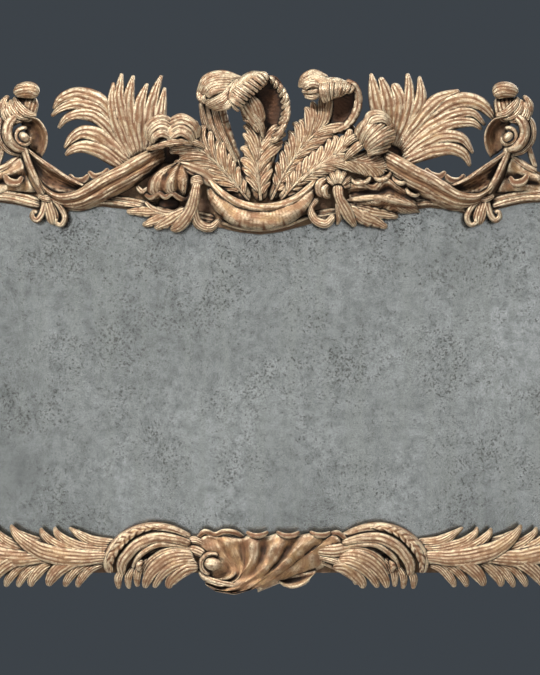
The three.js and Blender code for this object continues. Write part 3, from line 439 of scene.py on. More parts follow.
def carveStroke(rows, place, ground, low, rise, thick, cut, dice):
    last = len(rows) - 1
    knots = []
    for i, row in enumerate(rows):
        forward = row[3] if len(row) > 3 else low + rise * math.sin(math.pi * i / (last + 0.6))
        x, z = place(row[0], row[1])
        knots.append((x, -(ground + forward), z, row[2]))
    curve = denseCurve(np.array(knots, float))
    travelled = np.concatenate([[0], np.cumsum(np.linalg.norm(np.diff(curve[:, :3], axis=0), axis=1))])
    length = travelled[-1]

    # rings: even along the stroke, and closer together round its two blunt ends
    startCap = min(0.5 * rows[0][2], 0.3 * length)
    endCap = min(0.5 * rows[-1][2], 0.3 * length)
    steps = max(5, round(length / cut["spacing"]))
    turn = np.linspace(0, math.pi / 2, 5)[:-1]
    along = np.unique(np.round(np.concatenate([
        startCap * (1 - np.cos(turn)),
        np.linspace(startCap, length - endCap, steps),
        length - endCap * (1 - np.cos(turn)),
    ]), 4))
    centre = np.stack([np.interp(along, travelled, curve[:, k]) for k in range(3)], axis=1)
    half = np.maximum(np.interp(along, travelled, curve[:, 3]), 1.0) / 2
    fromStart = np.clip(along / max(startCap, 1e-6), 0, 1)
    fromEnd = np.clip((length - along) / max(endCap, 1e-6), 0, 1)
    shrink = np.sqrt(np.clip(1 - (1 - np.minimum(fromStart, fromEnd)) ** 2, 0.006, 1))

    tangent = np.gradient(centre, along, axis=0)
    tangent /= np.linalg.norm(tangent, axis=1)[:, None]
    normal = np.zeros_like(centre)
    held = np.array([0.0, -1.0, 0.0])
    for i in range(len(along)):
        held = held - held.dot(tangent[i]) * tangent[i]
        held /= np.linalg.norm(held)
        normal[i] = held
    side = np.cross(normal, tangent)
    if cut["roll"]:
        lean = math.radians(cut["roll"])
        normal, side = (normal * math.cos(lean) + side * math.sin(lean),
                        side * math.cos(lean) - normal * math.sin(lean))

    reeds = cut["reeds"]
    columns = cut["columns"] or (reeds * 4 + 1 if reeds > 1 else 13)
    s = np.linspace(-1, 1, columns)[None, :]
    s = np.sign(s) * np.abs(s) ** 0.9
    a = along[:, None]
    share = a / length
    halfWide = (half * shrink)[:, None]
    front = (np.minimum(thick, 1.3 * 2 * half) / 2 * shrink)[:, None]
    fade = np.clip(halfWide / 9, 0.15, 1)
    shift = [dice.uniform(0, 7) for _ in range(6)]

    bend = (np.sin(a / 17 + shift[0]) + 0.6 * np.sin(a / 7.3 + shift[1])) * 0.5
    lumps = bend + 0.7 * np.sin(a / 11 + 2.3 * s + shift[2]) * np.cos(3.1 * s + shift[3])
    crown = np.sqrt(np.clip(1 - np.abs(s) ** cut["crown"], 0, 1))
    height = front * crown + cut["wander"] * lumps * fade
    groove = np.zeros_like(height)
    if reeds:
        phase = reeds * (s + 1) / 2 + 0.2 * bend + cut["twist"] * share
        ridge = ridged(phase)
        cutIn = 0.78 + 0.34 * np.sin(a / 12 + 2.7 * s + shift[4]) * np.cos(a / 29 + 1.9 * s + shift[5])
        height = height + cut["reedDepth"] * fade * cutIn * (ridge ** 0.7 - 0.6)
        groove = np.maximum(groove, (1 - ridge) ** 2 * cutIn * np.clip(fade * 1.3, 0, 1))
    edge = np.ones_like(height)
    if cut["ribs"]:
        which = np.where(s < 0, 0.5, 0.0)
        phase = (a - cut["lean"] * np.abs(s) ** 1.3) / cut["ribs"] + which + 0.25 * bend
        ridge = ridged(phase)
        away = np.clip((np.abs(s) - 0.05) / 0.15, 0, 1) if cut["rachis"] else 1.0
        height = height + cut["ribDepth"] * fade * (ridge ** 0.7 - 0.6) * away
        groove = np.maximum(groove, (1 - ridge) ** 2 * away * min(0.9, 0.8 * cut["ribDepth"]))
        edge = edge + cut["serrate"] * (ridge - 0.6)
    if cut["lobes"]:
        which = np.where(s < 0, 0.37, 0.0)
        phase = (a - 0.7 * cut["lean"] * np.abs(s) ** 1.3) / cut["lobes"] + which + 0.15 * bend
        ridge = ridged(phase)
        outer = np.clip((np.abs(s) - 0.25) / 0.75, 0, 1)
        edge = edge + cut["lobeDepth"] * (ridge ** 0.6 - 0.75)
        height = height + 2.2 * fade * outer * (ridge ** 0.6 - 0.7)
        groove = np.maximum(groove, (1 - ridge) ** 3 * outer)
    if cut["rachis"]:
        height = height + cut["rachis"] * fade * np.exp(-(s / 0.075) ** 2)
        groove = np.maximum(groove, np.exp(-((np.abs(s) - 0.13) / 0.05) ** 2) * 0.8)
    if cut["dish"]:
        height = height - cut["dish"] * fade * (1 - s * s) * np.clip(front / 8, 0.2, 1)
        groove = np.maximum(groove, 0.55 * (1 - s * s) ** 2)

    rest = np.minimum(1, shrink)[:, None]
    across = s * halfWide * (1 + (edge - 1) * np.abs(s))
    height = np.where(np.abs(s) > 0.999, 0, height) * np.where(rest < 0.35, rest / 0.35, 1)
    frontPoints = (centre[:, None, :] + side[:, None, :] * across[..., None]
                   + normal[:, None, :] * height[..., None])
    backS = np.linspace(1, -1, 7)[1:-1][None, :]
    backEdge = np.interp(backS[0], [-1, 1], [0, columns - 1]).round().astype(int)
    backDepth = -front * cut["back"] * np.sqrt(1 - backS ** 2)
    backAcross = across[:, backEdge] * 0.98
    backPoints = (centre[:, None, :] + side[:, None, :] * backAcross[..., None]
                  + normal[:, None, :] * backDepth[..., None])
    ring = np.concatenate([frontPoints, backPoints], axis=1)
    ring[:, :columns, 1] = np.minimum(ring[:, :columns, 1], -ground - 0.5)
    ring[:, columns:, 1] = np.minimum(ring[:, columns:, 1], -ground + 0.3)
    rings, around = ring.shape[:2]
    points = ring.reshape(-1, 3) * 0.001

    # the cut's shade lays painted shade over the whole stroke; the back gets a fixed 0.6 and the caps 0.3
    groove = np.clip(groove * rest + cut["shade"], 0, 1)
    cutShade = np.concatenate([groove, np.full((rings, around - columns), 0.6)], axis=1).reshape(-1)
    flow = np.zeros((rings, around, 3))
    flow[:, :columns, 0] = s * half[:, None]
    flow[:, columns:, 0] = backS * half[:, None] + 60
    flow[..., 1] = a
    flow[..., 2] = shift[4] * 10

    i, k = np.meshgrid(np.arange(rings - 1), np.arange(around), indexing="ij")
    n = (k + 1) % around
    quads = np.stack([i * around + k, i * around + n, (i + 1) * around + n, (i + 1) * around + k], axis=-1)
    quads = quads.reshape(-1, 4)
    capA = points[:around].mean(axis=0)
    capB = points[-around:].mean(axis=0)
    points = np.vstack([points, capA, capB])
    cutShade = np.concatenate([cutShade, [0.3, 0.3]])
    flow = np.vstack([flow.reshape(-1, 3), [0, 0, 0], [0, length, 0]])
    k = np.arange(around)
    n = (k + 1) % around
    first = rings * around
    endRow = (rings - 1) * around
    caps = np.vstack([np.stack([np.full(around, first), n, k], axis=1),
                      np.stack([np.full(around, first + 1), endRow + k, endRow + n], axis=1)])
    if insideOut(points, quads, caps):
        quads = quads[:, ::-1]
        caps = caps[:, ::-1]
    return points, quads, caps, cutShade, flow


def acrossGuides(grid, steps):
    # a smooth surface through the guide lines, by uniform Catmull-Rom
    ends = np.concatenate([2 * grid[:1] - grid[1:2], grid, 2 * grid[-1:] - grid[-2:-1]])
    pieces = []
    for i in range(1, len(ends) - 2):
        p0, p1, p2, p3 = ends[i - 1:i + 3]
        for u in np.linspace(0, 1, steps, endpoint=False):
            pieces.append(0.5 * (2 * p1 + (p2 - p0) * u + (2 * p0 - 5 * p1 + 4 * p2 - p3) * u**2
                                 + (3 * p1 - p0 - 3 * p2 + p3) * u**3))
    pieces.append(grid[-1])
    front = np.array(pieces)
    for i in range(len(grid) - 1):
        # full ridges and narrow valleys
        rows = slice(i * steps, (i + 1) * steps)
        high = np.minimum(grid[i, :, 1], grid[i + 1, :, 1])
        deep = np.maximum(np.abs(grid[i, :, 1] - grid[i + 1, :, 1]), 1e-3)
        share = np.clip((front[rows, :, 1] - high) / deep, 0, 1)
        front[rows, :, 1] = high + deep * share ** 1.8
    return front


# Cloth and other broad faces: guide lines of (x, z, forward) run along the folds, ridge and valley in turn.
def carveSheet(guides, place, ground, thick, cut, dice):
    lines = []
    longest = 0
    for rows in guides:
        knots = np.array([(place(row[0], row[1])[0], -(ground + row[2]), place(row[0], row[1])[1], 0.0)
                          for row in rows])
        curve = denseCurve(knots)[:, :3]
        travelled = np.concatenate([[0], np.cumsum(np.linalg.norm(np.diff(curve, axis=0), axis=1))])
        longest = max(longest, travelled[-1])
        lines.append((curve, travelled))
    steps = max(8, round(longest / cut["spacing"]))
    grid = np.array([[np.interp(np.linspace(0, travelled[-1], steps), travelled, curve[:, k])
                      for k in range(3)] for curve, travelled in lines]).transpose(0, 2, 1)
    gap = np.linalg.norm(np.diff(grid, axis=0), axis=2).mean()
    front = acrossGuides(grid, max(3, round(gap / cut["spacing"])))
    wide = np.cumsum(np.linalg.norm(np.diff(front, axis=0), axis=2), 0)
    wide = np.concatenate([np.zeros((1, steps)), wide])
    far = np.concatenate([np.zeros((len(front), 1)),
                          np.cumsum(np.linalg.norm(np.diff(front, axis=1), axis=2), 1)], axis=1)
    shift = [dice.uniform(0, 7) for _ in range(5)]
    waves = (np.sin(far / 13 + shift[0]) * np.cos(wide / 9 + shift[1])
             + 0.6 * np.sin(far / 6 + wide / 11 + shift[2]))
    relief = cut["wander"] * waves
    groove = np.zeros(front.shape[:2])
    if cut["reeds"]:
        ridge = ridged(wide / cut["reeds"] + 0.2 * np.sin(far / 15 + shift[3]))
        relief = relief + cut["reedDepth"] * (ridge ** 0.7 - 0.6)
        groove = (1 - ridge) ** 2 * 0.8
    margin = np.minimum.reduce([wide, wide[-1:] - wide, far, far[:, -1:] - far])
    rim = np.clip(margin / (0.5 * thick), 0, 1)
    drop = (1 - np.sqrt(np.clip(1 - (1 - rim) ** 2, 0, 1))) * 0.5 * thick
    front = front.copy()
    front[..., 1] += drop - relief * rim
    front[..., 1] = np.minimum(front[..., 1], -ground - 0.5)
    back = front.copy()
    back[..., 1] = np.minimum(front[..., 1] + np.maximum(thick - 2 * drop, 0.6), -ground + 0.3)
    m, n = front.shape[:2]
    # the cut's shade lays painted shade over the whole sheet; its back gets a fixed 0.6
    groove = np.clip(groove + cut["shade"], 0, 1)
    points = np.concatenate([front.reshape(-1, 3), back.reshape(-1, 3)]) * 0.001
    shade = np.concatenate([groove.ravel(), np.full(m * n, 0.6)])
    flow = np.stack([wide, far, np.full_like(wide, shift[4] * 10)], axis=-1).reshape(-1, 3)
    flow = np.concatenate([flow, flow + [60, 0, 0]])
    i, k = np.meshgrid(np.arange(m - 1), np.arange(n - 1), indexing="ij")
    a, b, c, d = i * n + k, i * n + k + 1, (i + 1) * n + k + 1, (i + 1) * n + k
    ahead = np.stack([a, b, c, d], axis=-1).reshape(-1, 4)
    loop = np.concatenate([np.arange(n - 1), (n - 1) + n * np.arange(m - 1),
                           (m - 1) * n + np.arange(n - 1, 0, -1), n * np.arange(m - 1, 0, -1)])
    after = np.roll(loop, -1)
    walls = np.stack([loop, loop + m * n, after + m * n, after], axis=-1)
    quads = np.vstack([ahead, ahead[:, ::-1] + m * n, walls])
    caps = np.zeros((0, 3), int)
    if insideOut(points, quads, caps):
        quads = quads[:, ::-1]
    return points, quads, caps, shade, flow


def relieve(mesh):
    # how far each point stands proud of its neighbours (painted highlight, with worn leaf) or lies below
    # them (brown clay, with some painted shade)
    count = len(mesh.vertices)
    places, normals = np.empty(count * 3), np.empty(count * 3)
    mesh.vertices.foreach_get("co", places)
    mesh.vertices.foreach_get("normal", normals)
    places, normals = places.reshape(-1, 3), normals.reshape(-1, 3)
    pairs = np.empty(len(mesh.edges) * 2, int)
    mesh.edges.foreach_get("vertices", pairs)
    one, two = pairs.reshape(-1, 2).T
    step = places[two] - places[one]
    size = np.maximum(np.linalg.norm(step, axis=1), 1e-6)
    total, number = np.zeros(count), np.full(count, 1e-6)
    np.add.at(total, one, np.einsum("ij,ij->i", step, normals[one]) / size)
    np.add.at(total, two, -np.einsum("ij,ij->i", step, normals[two]) / size)
    np.add.at(number, one, 1)
    np.add.at(number, two, 1)
    slope = total / number
    for _ in range(2):
        mean = np.zeros(count)
        np.add.at(mean, one, slope[two])
        np.add.at(mean, two, slope[one])
        slope = 0.5 * slope + 0.5 * mean / number
    return slope


def carvePiece(name, piece, place, mirrored=False):
    dice = random.Random(piece.get("seed", name))
    points, faces, shades, flows = [], [], [], []
    start = 0
    for stroke in piece["strokes"]:
        cut = {**stroke.get("cut", piece.get("cut", plainCut))}
        for key in plainCut:
            if key in stroke:
                cut[key] = stroke[key]
        settings = {key: stroke.get(key, piece[key]) for key in ("low", "rise", "thick")}
        if "guides" in stroke:
            turned = [[(-row[0] if mirrored else row[0], *row[1:]) for row in rows]
                      for rows in stroke["guides"]]
            made = carveSheet(turned, place, piece["ground"], settings["thick"], cut, dice)
        else:
            rows = [(-row[0] if mirrored else row[0], *row[1:]) for row in stroke["rows"]]
            made = carveStroke(rows, place, piece["ground"], cut=cut, dice=dice, **settings)
        points.append(made[0])
        faces += (made[1] + start).tolist() + (made[2] + start).tolist()
        shades.append(made[3])
        flows.append(made[4])
        start += len(made[0])
    # the outlines were measured as if all lay in the plate's plane; what stands forward is really nearer
    # the middle of the picture
    points = np.vstack(points)
    nearer = 1 - np.clip(-points[:, 1] - 0.001 * piece["ground"], 0, None) / eyeDistance
    points[:, 0] *= nearer
    points[:, 2] = eyeHeight + (points[:, 2] - eyeHeight) * nearer
    mesh = bpy.data.meshes.new(name)
    mesh.from_pydata(points.tolist(), [], faces)
    mesh.polygons.foreach_set("use_smooth", [True] * len(mesh.polygons))
    mesh.update()
    slope = relieve(mesh)
    # groove: cuts, the cut's shade and concave places, coloured clay and partly darkened as painted shade;
    # ridge: convex places, painted as highlight
    groove = np.clip(np.maximum(np.concatenate(shades), np.clip(slope * 5, 0, 1)), 0, 1)
    ridge = np.clip(-slope * 5.5 - 0.08, 0, 1)
    for word, kind, field, values in (("groove", "FLOAT", "value", groove),
                                      ("ridge", "FLOAT", "value", ridge),
                                      ("flow", "FLOAT_VECTOR", "vector", np.vstack(flows).ravel())):
        mesh.attributes.new(word, kind, "POINT").data.foreach_set(field, values)
    mesh.attributes.new("hollow", "FLOAT", "POINT")
    mesh.update()
    made = bpy.data.objects.new(name, mesh)
    made.data.materials.append(giltMaterial)
    bpy.context.scene.collection.objects.link(made)
    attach(made, "frame")
    carved.append(made)
    return made


def strokes(cut, rowsList, **own):
    return [dict(cut=cut, rows=rows, **own) for rows in rowsList]


def strands(cut, count, guides, widths, seed=1, **own):
    # a fan of strokes that each run across all the guide lines of (x, z, forward)
    dice = random.Random(seed)
    lines = [denseCurve(np.array([(*g, 0.0) for g in guide], float)) if len(guide) > 1 else
             np.array([(*guide[0], 0.0)] * 2) for guide in guides]
    made = []
    for i in range(count):
        share = min(1, max(0, (i + dice.uniform(-0.22, 0.22)) / max(1, count - 1)))
        lift = dice.uniform(-1.6, 1.6)
        rows = []
        for line, width in zip(lines, widths):
            at = share * (len(line) - 1)
            spot = [float(np.interp(at, range(len(line)), line[:, k])) for k in range(3)]
            rows.append((spot[0], spot[1], width * dice.uniform(0.88, 1.12), spot[2] + lift))
        made.append(dict(cut=cut, rows=rows, **own))
    return made


barbCut = cutLike(reeds=4, reedDepth=1.1, wander=0.9, spacing=2.2, crown=2.6)


def barbed(spine, pitch, seed=1, sides=(-1, 1), start=0.1, end=1.0, lean=1.0, quill=6.5, cut=barbCut):
    # a plume: its body, the locks of barbs that grow out of both sides of the quill, and the quill
    dice = random.Random(seed)
    line = denseCurve(np.array(spine, float))
    travelled = np.concatenate([[0], np.cumsum(np.linalg.norm(np.diff(line[:, :2], axis=0), axis=1))])
    made = strokes(cutLike(wander=0.4),
                   [[(x, z, 1.7 * w, f - 7) for x, z, w, f in spine]], thick=18, low=0, rise=0)
    count = round(travelled[-1] * (end - start) / pitch)
    for i in range(count):
        for sign in sides:
            a = travelled[-1] * start + (i + 0.5 * (sign > 0) + dice.uniform(-0.15, 0.15)) * pitch
            x, z, half, f = [float(np.interp(a, travelled, line[:, k])) for k in range(4)]
            ahead = [float(np.interp(a + 4, travelled, line[:, k])) for k in range(2)]
            tx, tz = ahead[0] - x, ahead[1] - z
            size = math.hypot(tx, tz) or 1
            tx, tz = tx / size, tz / size
            nx, nz = -tz * sign, tx * sign
            reach = half * dice.uniform(0.86, 1.14)
            lift = dice.uniform(-1.2, 1.2)
            bend = dice.uniform(-0.08, 0.08)
            rows = []
            for out, on, width, drop in ((0.02, -0.20, 0.80, 1.0), (0.26, 0.34 + bend, 1.30, 1.8),
                                         (0.62, 0.80 + bend, 1.45, 0.2), (0.94, 0.98, 0.95, -3.0),
                                         (1.10, 0.96 - bend, 0.35, -5.5)):
                rows.append((x + nx * out * reach + tx * on * reach * lean,
                             z + nz * out * reach + tz * on * reach * lean,
                             pitch * width * dice.uniform(0.85, 1.15), f + drop + lift))
            made.append(dict(cut=cut, rows=rows, thick=11))
    if quill:
        quillRows = [(x, z, quill * (1 - 0.5 * i / (len(spine) - 1)), f + 5)
                     for i, (x, z, w, f) in enumerate(spine)]
        made += strokes(cutLike(reeds=2, reedDepth=1.0, wander=0.3, spacing=2.5), [quillRows], thick=8)
    return made


def onCrest(x, z):
    return x, plateZ + z


def onBase(x, z):
    return x, z - plateZ


# crest: bowl and feathers

bowlCut = cutLike(ribs=7, ribDepth=0.28, lobes=37, lobeDepth=0.015, wander=2.2, spacing=1.8, crown=2.6,
                  columns=19)
plumeBowl = {
    "ground": crestGround, "low": 8, "rise": 14, "thick": 44,
    "strokes": [
        *strokes(bowlCut, [
            [(-114, 22, 16), (-96, -6, 34), (-58, -34, 44), (-12, -42, 46), (34, -34, 44), (72, -10, 36),
             (98, 26, 20)]]),
        *strokes(cutLike(wander=1.8, spacing=2.6), [
            [(-124, 46, 8, 16), (-94, 14, 14, 30), (-62, -8, 16, 35), (-22, -19, 16, 37), (20, -17, 16, 37),
             (56, -4, 16, 34), (84, 18, 14, 28), (104, 44, 8, 18)]], thick=18),
        *strokes(cutLike(wander=0.3), [
            [(-92, -47, 10, 5), (-52, -59, 10, 5), (-12, -63, 10, 5), (28, -58, 10, 5), (86, -37, 10, 5)]],
            thick=10),
    ],
}
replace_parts(carvePiece("carvedPlumeBowl", plumeBowl, onCrest), "plume_bowl")

plume = {"ground": crestGround, "low": 10, "rise": 10, "thick": 16}
strandCut = cutLike(reeds=2, reedDepth=1.3, wander=0.5, spacing=2.2, crown=2.4)
# shade=0.75 paints the hood's hollow underside dark: painted shade
hoodCut = cutLike(dish=7, ribs=8, ribDepth=1.7, lean=18, wander=1.6, crown=4, spacing=2, shade=0.75)

featherCentre = {
    **plume,
    "strokes": [
        *barbed([(-10, -8, 14, 14), (-14, 30, 26, 18), (-16, 66, 36, 21), (-8, 104, 40, 22),
                 (0, 140, 34, 20)],
                15, seed=3, start=0.12, end=0.92),
        # the hollow underside of the curled tip, and the bright barbs that edge it on the right
        *strokes(hoodCut, [
            [(0, 124, 46, 18), (8, 160, 62, 22), (8, 200, 64, 26), (0, 226, 54, 34), (-10, 240, 30, 42)]]),
        *strands(strandCut, 12, [
            [(6, 112, 24), (24, 142, 26), (32, 172, 28), (28, 204, 32), (10, 231, 40)],
            [(20, 116, 34), (38, 150, 36), (42, 180, 38), (34, 212, 42), (12, 236, 48)],
            [(30, 132, 30), (46, 168, 32), (44, 196, 34), (32, 222, 38), (4, 243, 46)]],
            (8, 13, 5), seed=4, thick=11),
        # strands under the curled tip, painted a little dark (shade 0.12): painted shade
        *strands(strandCut, 6, [
            [(-52, 178, 42), (-46, 156, 36)], [(-30, 174, 48), (-26, 150, 40)],
            [(-12, 158, 46), (-12, 138, 38)],
            [(-4, 138, 34), (-6, 120, 30)]], (6, 10, 9, 5), seed=5, thick=10, shade=0.12),
        *strokes(leafCut, [
            [(-60, 196, 12, 50), (-42, 186, 28, 50), (-24, 162, 32, 42), (-12, 130, 16, 30)],
            [(-34, 206, 12, 54), (-20, 182, 26, 50), (-8, 150, 20, 38)]]),
        # the tip rolled forward: barbs fall to both sides of its quill
        *strokes(cutLike(wander=0.8), [
            [(4, 233, 24, 42), (-22, 233, 40, 50), (-44, 219, 42, 58), (-58, 200, 30, 58),
             (-62, 184, 12, 54)]], thick=26),
        *strands(strandCut, 10, [
            [(-14, 248, 44), (-40, 244, 46), (-58, 234, 54), (-66, 219, 62), (-72, 200, 66)],
            [(0, 245, 52), (-22, 234, 62), (-38, 221, 70), (-52, 208, 74), (-62, 190, 72)],
            [(4, 234, 54), (-4, 221, 60), (-18, 208, 66), (-34, 196, 68), (-46, 180, 66)]],
            (8, 12, 6), seed=6, thick=13),
        *strands(strandCut, 7, [
            [(-60, 233, 54), (-70, 214, 62), (-66, 196, 66)],
            [(-80, 214, 62), (-84, 198, 66), (-74, 182, 66)],
            [(-102, 200, 60), (-102, 188, 60), (-90, 178, 58)],
            [(-124, 190, 50), (-116, 181, 48), (-102, 174, 48)]], (7, 11, 11, 6), seed=7, thick=12),
        *strokes(cutLike(reeds=2, reedDepth=1.2), [
            [(-56, 236, 8, 60), (-66, 219, 9, 68), (-72, 200, 8, 70), (-64, 182, 9, 68),
             (-54, 172, 7, 62)]], thick=9),
    ],
}
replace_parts(carvePiece("carvedFeatherCentre", featherCentre, onCrest), "feather_centre")

featherLeft = {
    **plume,
    "strokes": [
        *strokes(cutLike(reeds=5, reedDepth=2.6, wander=0.9, lobes=19, lobeDepth=0.06), [
            [(-40, -8, 14, 8), (-56, 56, 30, 8), (-78, 98, 42, 10), (-94, 138, 48, 12), (-104, 172, 52, 14),
             (-106, 208, 58, 20), (-102, 228, 56, 32)]]),
        *strands(leafCut, 3, [[(-78, 60, 18), (-58, 70, 20)], [(-108, 112, 20), (-76, 110, 22)],
                              [(-122, 150, 18), (-92, 146, 20)], [(-130, 190, 22), (-104, 186, 24)]],
                 (8, 14, 15, 9), seed=11, thick=11),
        *strokes(cutLike(wander=0.8), [
            [(-54, 224, 36, 30), (-84, 228, 46, 40), (-110, 217, 42, 44), (-122, 202, 20, 40)]], thick=28),
        *strands(strandCut, 8, [
            [(-46, 236, 34), (-60, 219, 46)], [(-88, 248, 44), (-84, 214, 62)],
            [(-122, 238, 46), (-104, 210, 66)],
            [(-136, 210, 42), (-116, 200, 60)]], (9, 14, 13, 7), seed=12, thick=13),
        *strands(strandCut, 4, [
            [(-136, 212, 42), (-118, 206, 54)], [(-132, 198, 48), (-124, 198, 56)],
            [(-120, 188, 50), (-118, 192, 54)]], (7, 10, 7), seed=13, thick=11),
    ],
}
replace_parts(carvePiece("carvedFeatherLeft", featherLeft, onCrest), "feather_left")

featherRight = {
    **plume,
    "strokes": [
        *barbed([(10, -6, 14, 8), (38, 50, 26, 14), (66, 92, 38, 19), (98, 128, 46, 22),
                 (126, 152, 44, 20)],
                15, seed=21, start=0.14, end=0.98),
        *strokes(hoodCut, [
            [(120, 144, 40, 18), (148, 172, 52, 20), (160, 202, 48, 26), (154, 224, 34, 36)]]),
        *strokes(cutLike(reeds=2, reedDepth=1.2, lobes=15, lobeDepth=0.12, wander=0.8, spacing=1.8), [
            [(132, 130, 10, 24), (162, 144, 17, 30), (180, 172, 18, 34), (184, 202, 16, 38),
             (176, 224, 13, 42), (160, 234, 8, 44)]], thick=13),
        *strokes(cutLike(wander=0.9), [
            [(166, 221, 20, 38), (144, 219, 40, 48), (118, 219, 44, 52), (92, 228, 44, 50),
             (76, 221, 24, 46)]], thick=28),
        *strands(strandCut, 9, [
            [(112, 236, 48), (132, 238, 46), (154, 233, 42), (174, 224, 38)],
            [(108, 214, 66), (128, 217, 66), (150, 217, 60), (170, 214, 50)],
            [(116, 188, 60), (130, 194, 60), (146, 204, 56), (162, 208, 46)]],
            (9, 12, 6), seed=23, thick=13),
        *strands(strandCut, 6, [
            [(124, 240, 44), (114, 219, 58)], [(94, 249, 48), (94, 226, 64)],
            [(74, 240, 48), (82, 221, 62)],
            [(66, 219, 44), (80, 216, 56)]], (9, 13, 12, 7), seed=24, thick=13),
        *strands(strandCut, 3, [
            [(116, 217, 58), (108, 206, 56)], [(94, 212, 60), (94, 200, 54)],
            [(72, 212, 50), (78, 202, 46)]], (9, 12, 8), seed=25, thick=12),
    ],
}
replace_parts(carvePiece("carvedFeatherRight", featherRight, onCrest), "feather_right")

featherLowLeft = {
    **plume,
    "strokes": [
        *barbed([(-34, -8, 14, 16), (-64, 30, 28, 22), (-98, 68, 36, 29), (-134, 98, 34, 36),
                 (-168, 120, 24, 40)],
                15, seed=31, start=0.12, end=0.96),
        *strokes(cutLike(wander=0.8), [
            [(-130, 128, 24, 36), (-156, 138, 36, 42), (-184, 128, 34, 40)],
            [(-176, 128, 30, 38), (-200, 136, 36, 42), (-220, 118, 26, 44)],
            [(-190, 142, 22, 44), (-190, 126, 26, 52), (-190, 110, 20, 52)]], thick=26),
        *strands(strandCut, 6, [
            [(-196, 152, 48), (-197, 112, 56)], [(-168, 161, 54), (-170, 128, 64)],
            [(-142, 146, 50), (-156, 120, 62)], [(-134, 120, 42), (-148, 108, 54)]],
            (8, 13, 12, 6), seed=32, thick=13),
        *strands(strandCut, 6, [
            [(-184, 152, 46), (-183, 112, 54)], [(-212, 161, 52), (-208, 126, 64)],
            [(-237, 140, 48), (-222, 118, 62)], [(-238, 116, 42), (-224, 108, 56)]],
            (8, 13, 12, 6), seed=33, thick=13),
        *strokes(cutLike(reeds=4, reedDepth=1.4, lobes=19, lobeDepth=0.14, wander=1.4, spacing=2), [
            [(-116, 96, 8, 30), (-142, 110, 14, 48), (-170, 112, 16, 56), (-198, 108, 16, 56),
             (-222, 101, 12, 50), (-238, 96, 6, 42)]], thick=14),
        # a thin sheet at the back, painted dark all over (shade 1): painted shade in the gap under the
        # plume's head
        *strokes(cutLike(shade=1, wander=1.0), [
            [(-96, 60, 40, 3), (-140, 82, 50, 3), (-186, 88, 44, 3), (-224, 82, 28, 3)]], thick=8),
        *strokes(leafCut, [
            [(-70, 14, 14, 12), (-104, 38, 40, 20), (-150, 62, 36, 26), (-184, 70, 12, 24)]]),
    ],
}
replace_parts(carvePiece("carvedFeatherLowLeft", featherLowLeft, onCrest), "feather_low_left")

featherLowRight = {
    **plume,
    "strokes": [
        *barbed([(30, -6, 14, 14), (58, 26, 22, 20), (90, 54, 28, 28), (128, 78, 30, 34),
                 (166, 98, 28, 40)],
                15, seed=41, start=0.1, end=0.94),
        *strokes(cutLike(wander=1.2), [
            [(180, 108, 34, 36), (204, 128, 56, 44), (226, 136, 56, 46), (244, 120, 34, 44)]], thick=34),
        *strands(strandCut, 10, [
            [(206, 168, 48), (244, 156, 48), (256, 122, 44), (242, 96, 42)],
            [(200, 154, 60), (226, 142, 66), (236, 116, 62), (228, 94, 52)],
            [(190, 134, 60), (206, 122, 68), (216, 104, 62), (212, 90, 54)],
            [(184, 114, 48), (194, 102, 54), (202, 92, 52), (204, 84, 48)]],
            (10, 15, 14, 7), seed=42, thick=13),
        *strands(strandCut, 4, [
            [(196, 146, 58), (206, 142, 66)], [(206, 166, 58), (216, 152, 68)],
            [(230, 168, 56), (234, 154, 66)],
            [(250, 152, 50), (244, 142, 58)]], (7, 12, 12, 6), seed=43, thick=12),
        *strokes(leafCut, [
            [(206, 114, 12, 44), (186, 104, 20, 50), (168, 88, 16, 46), (156, 74, 5, 40)],
            [(192, 124, 10, 40), (174, 118, 18, 44), (158, 104, 12, 40), (148, 92, 5, 36)]]),
        *barbed([(66, 30, 10, 22), (100, 58, 20, 30), (146, 74, 24, 34), (196, 68, 22, 34),
                 (242, 52, 10, 28)],
                14, seed=45, start=0.12, end=0.94, lean=1.25),
    ],
}
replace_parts(carvePiece("carvedFeatherLowRight", featherLowRight, onCrest), "feather_low_right")
print("plumes carved")


# crest: sprigs, flower and shell

sprig = {"ground": crestGround, "low": 16, "rise": 8, "thick": 18}

leafSprigLeft = {
    **sprig,
    "strokes": [
        *strokes(leafCut, [
            [(-138, 30, 16, 40), (-142, 4, 22, 44), (-152, -28, 26, 40), (-176, -58, 24, 30),
             (-190, -62, 8, 22)],
            [(-140, 10, 14, 38), (-144, -22, 18, 36), (-136, -50, 20, 30), (-112, -60, 18, 26),
             (-92, -44, 10, 20)],
            [(-142, -30, 12, 32), (-140, -52, 12, 26), (-134, -62, 5, 20)]]),
        *strokes(lobedCut, [
            [(-150, -20, 12, 34), (-190, -44, 28, 28), (-222, -62, 10, 18)],
            [(-160, -30, 12, 26), (-206, -40, 28, 22), (-246, -56, 10, 14)],
            [(-176, -32, 12, 22), (-230, -28, 24, 18), (-278, -28, 10, 12)]]),
        *strokes(curlCut, [
            [(-128, 34, 18, 30), (-138, 32, 26, 36), (-150, 30, 16, 30)]]),
    ],
}
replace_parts(carvePiece("carvedLeafSprigLeft", leafSprigLeft, onCrest), "leaf_sprig_left")

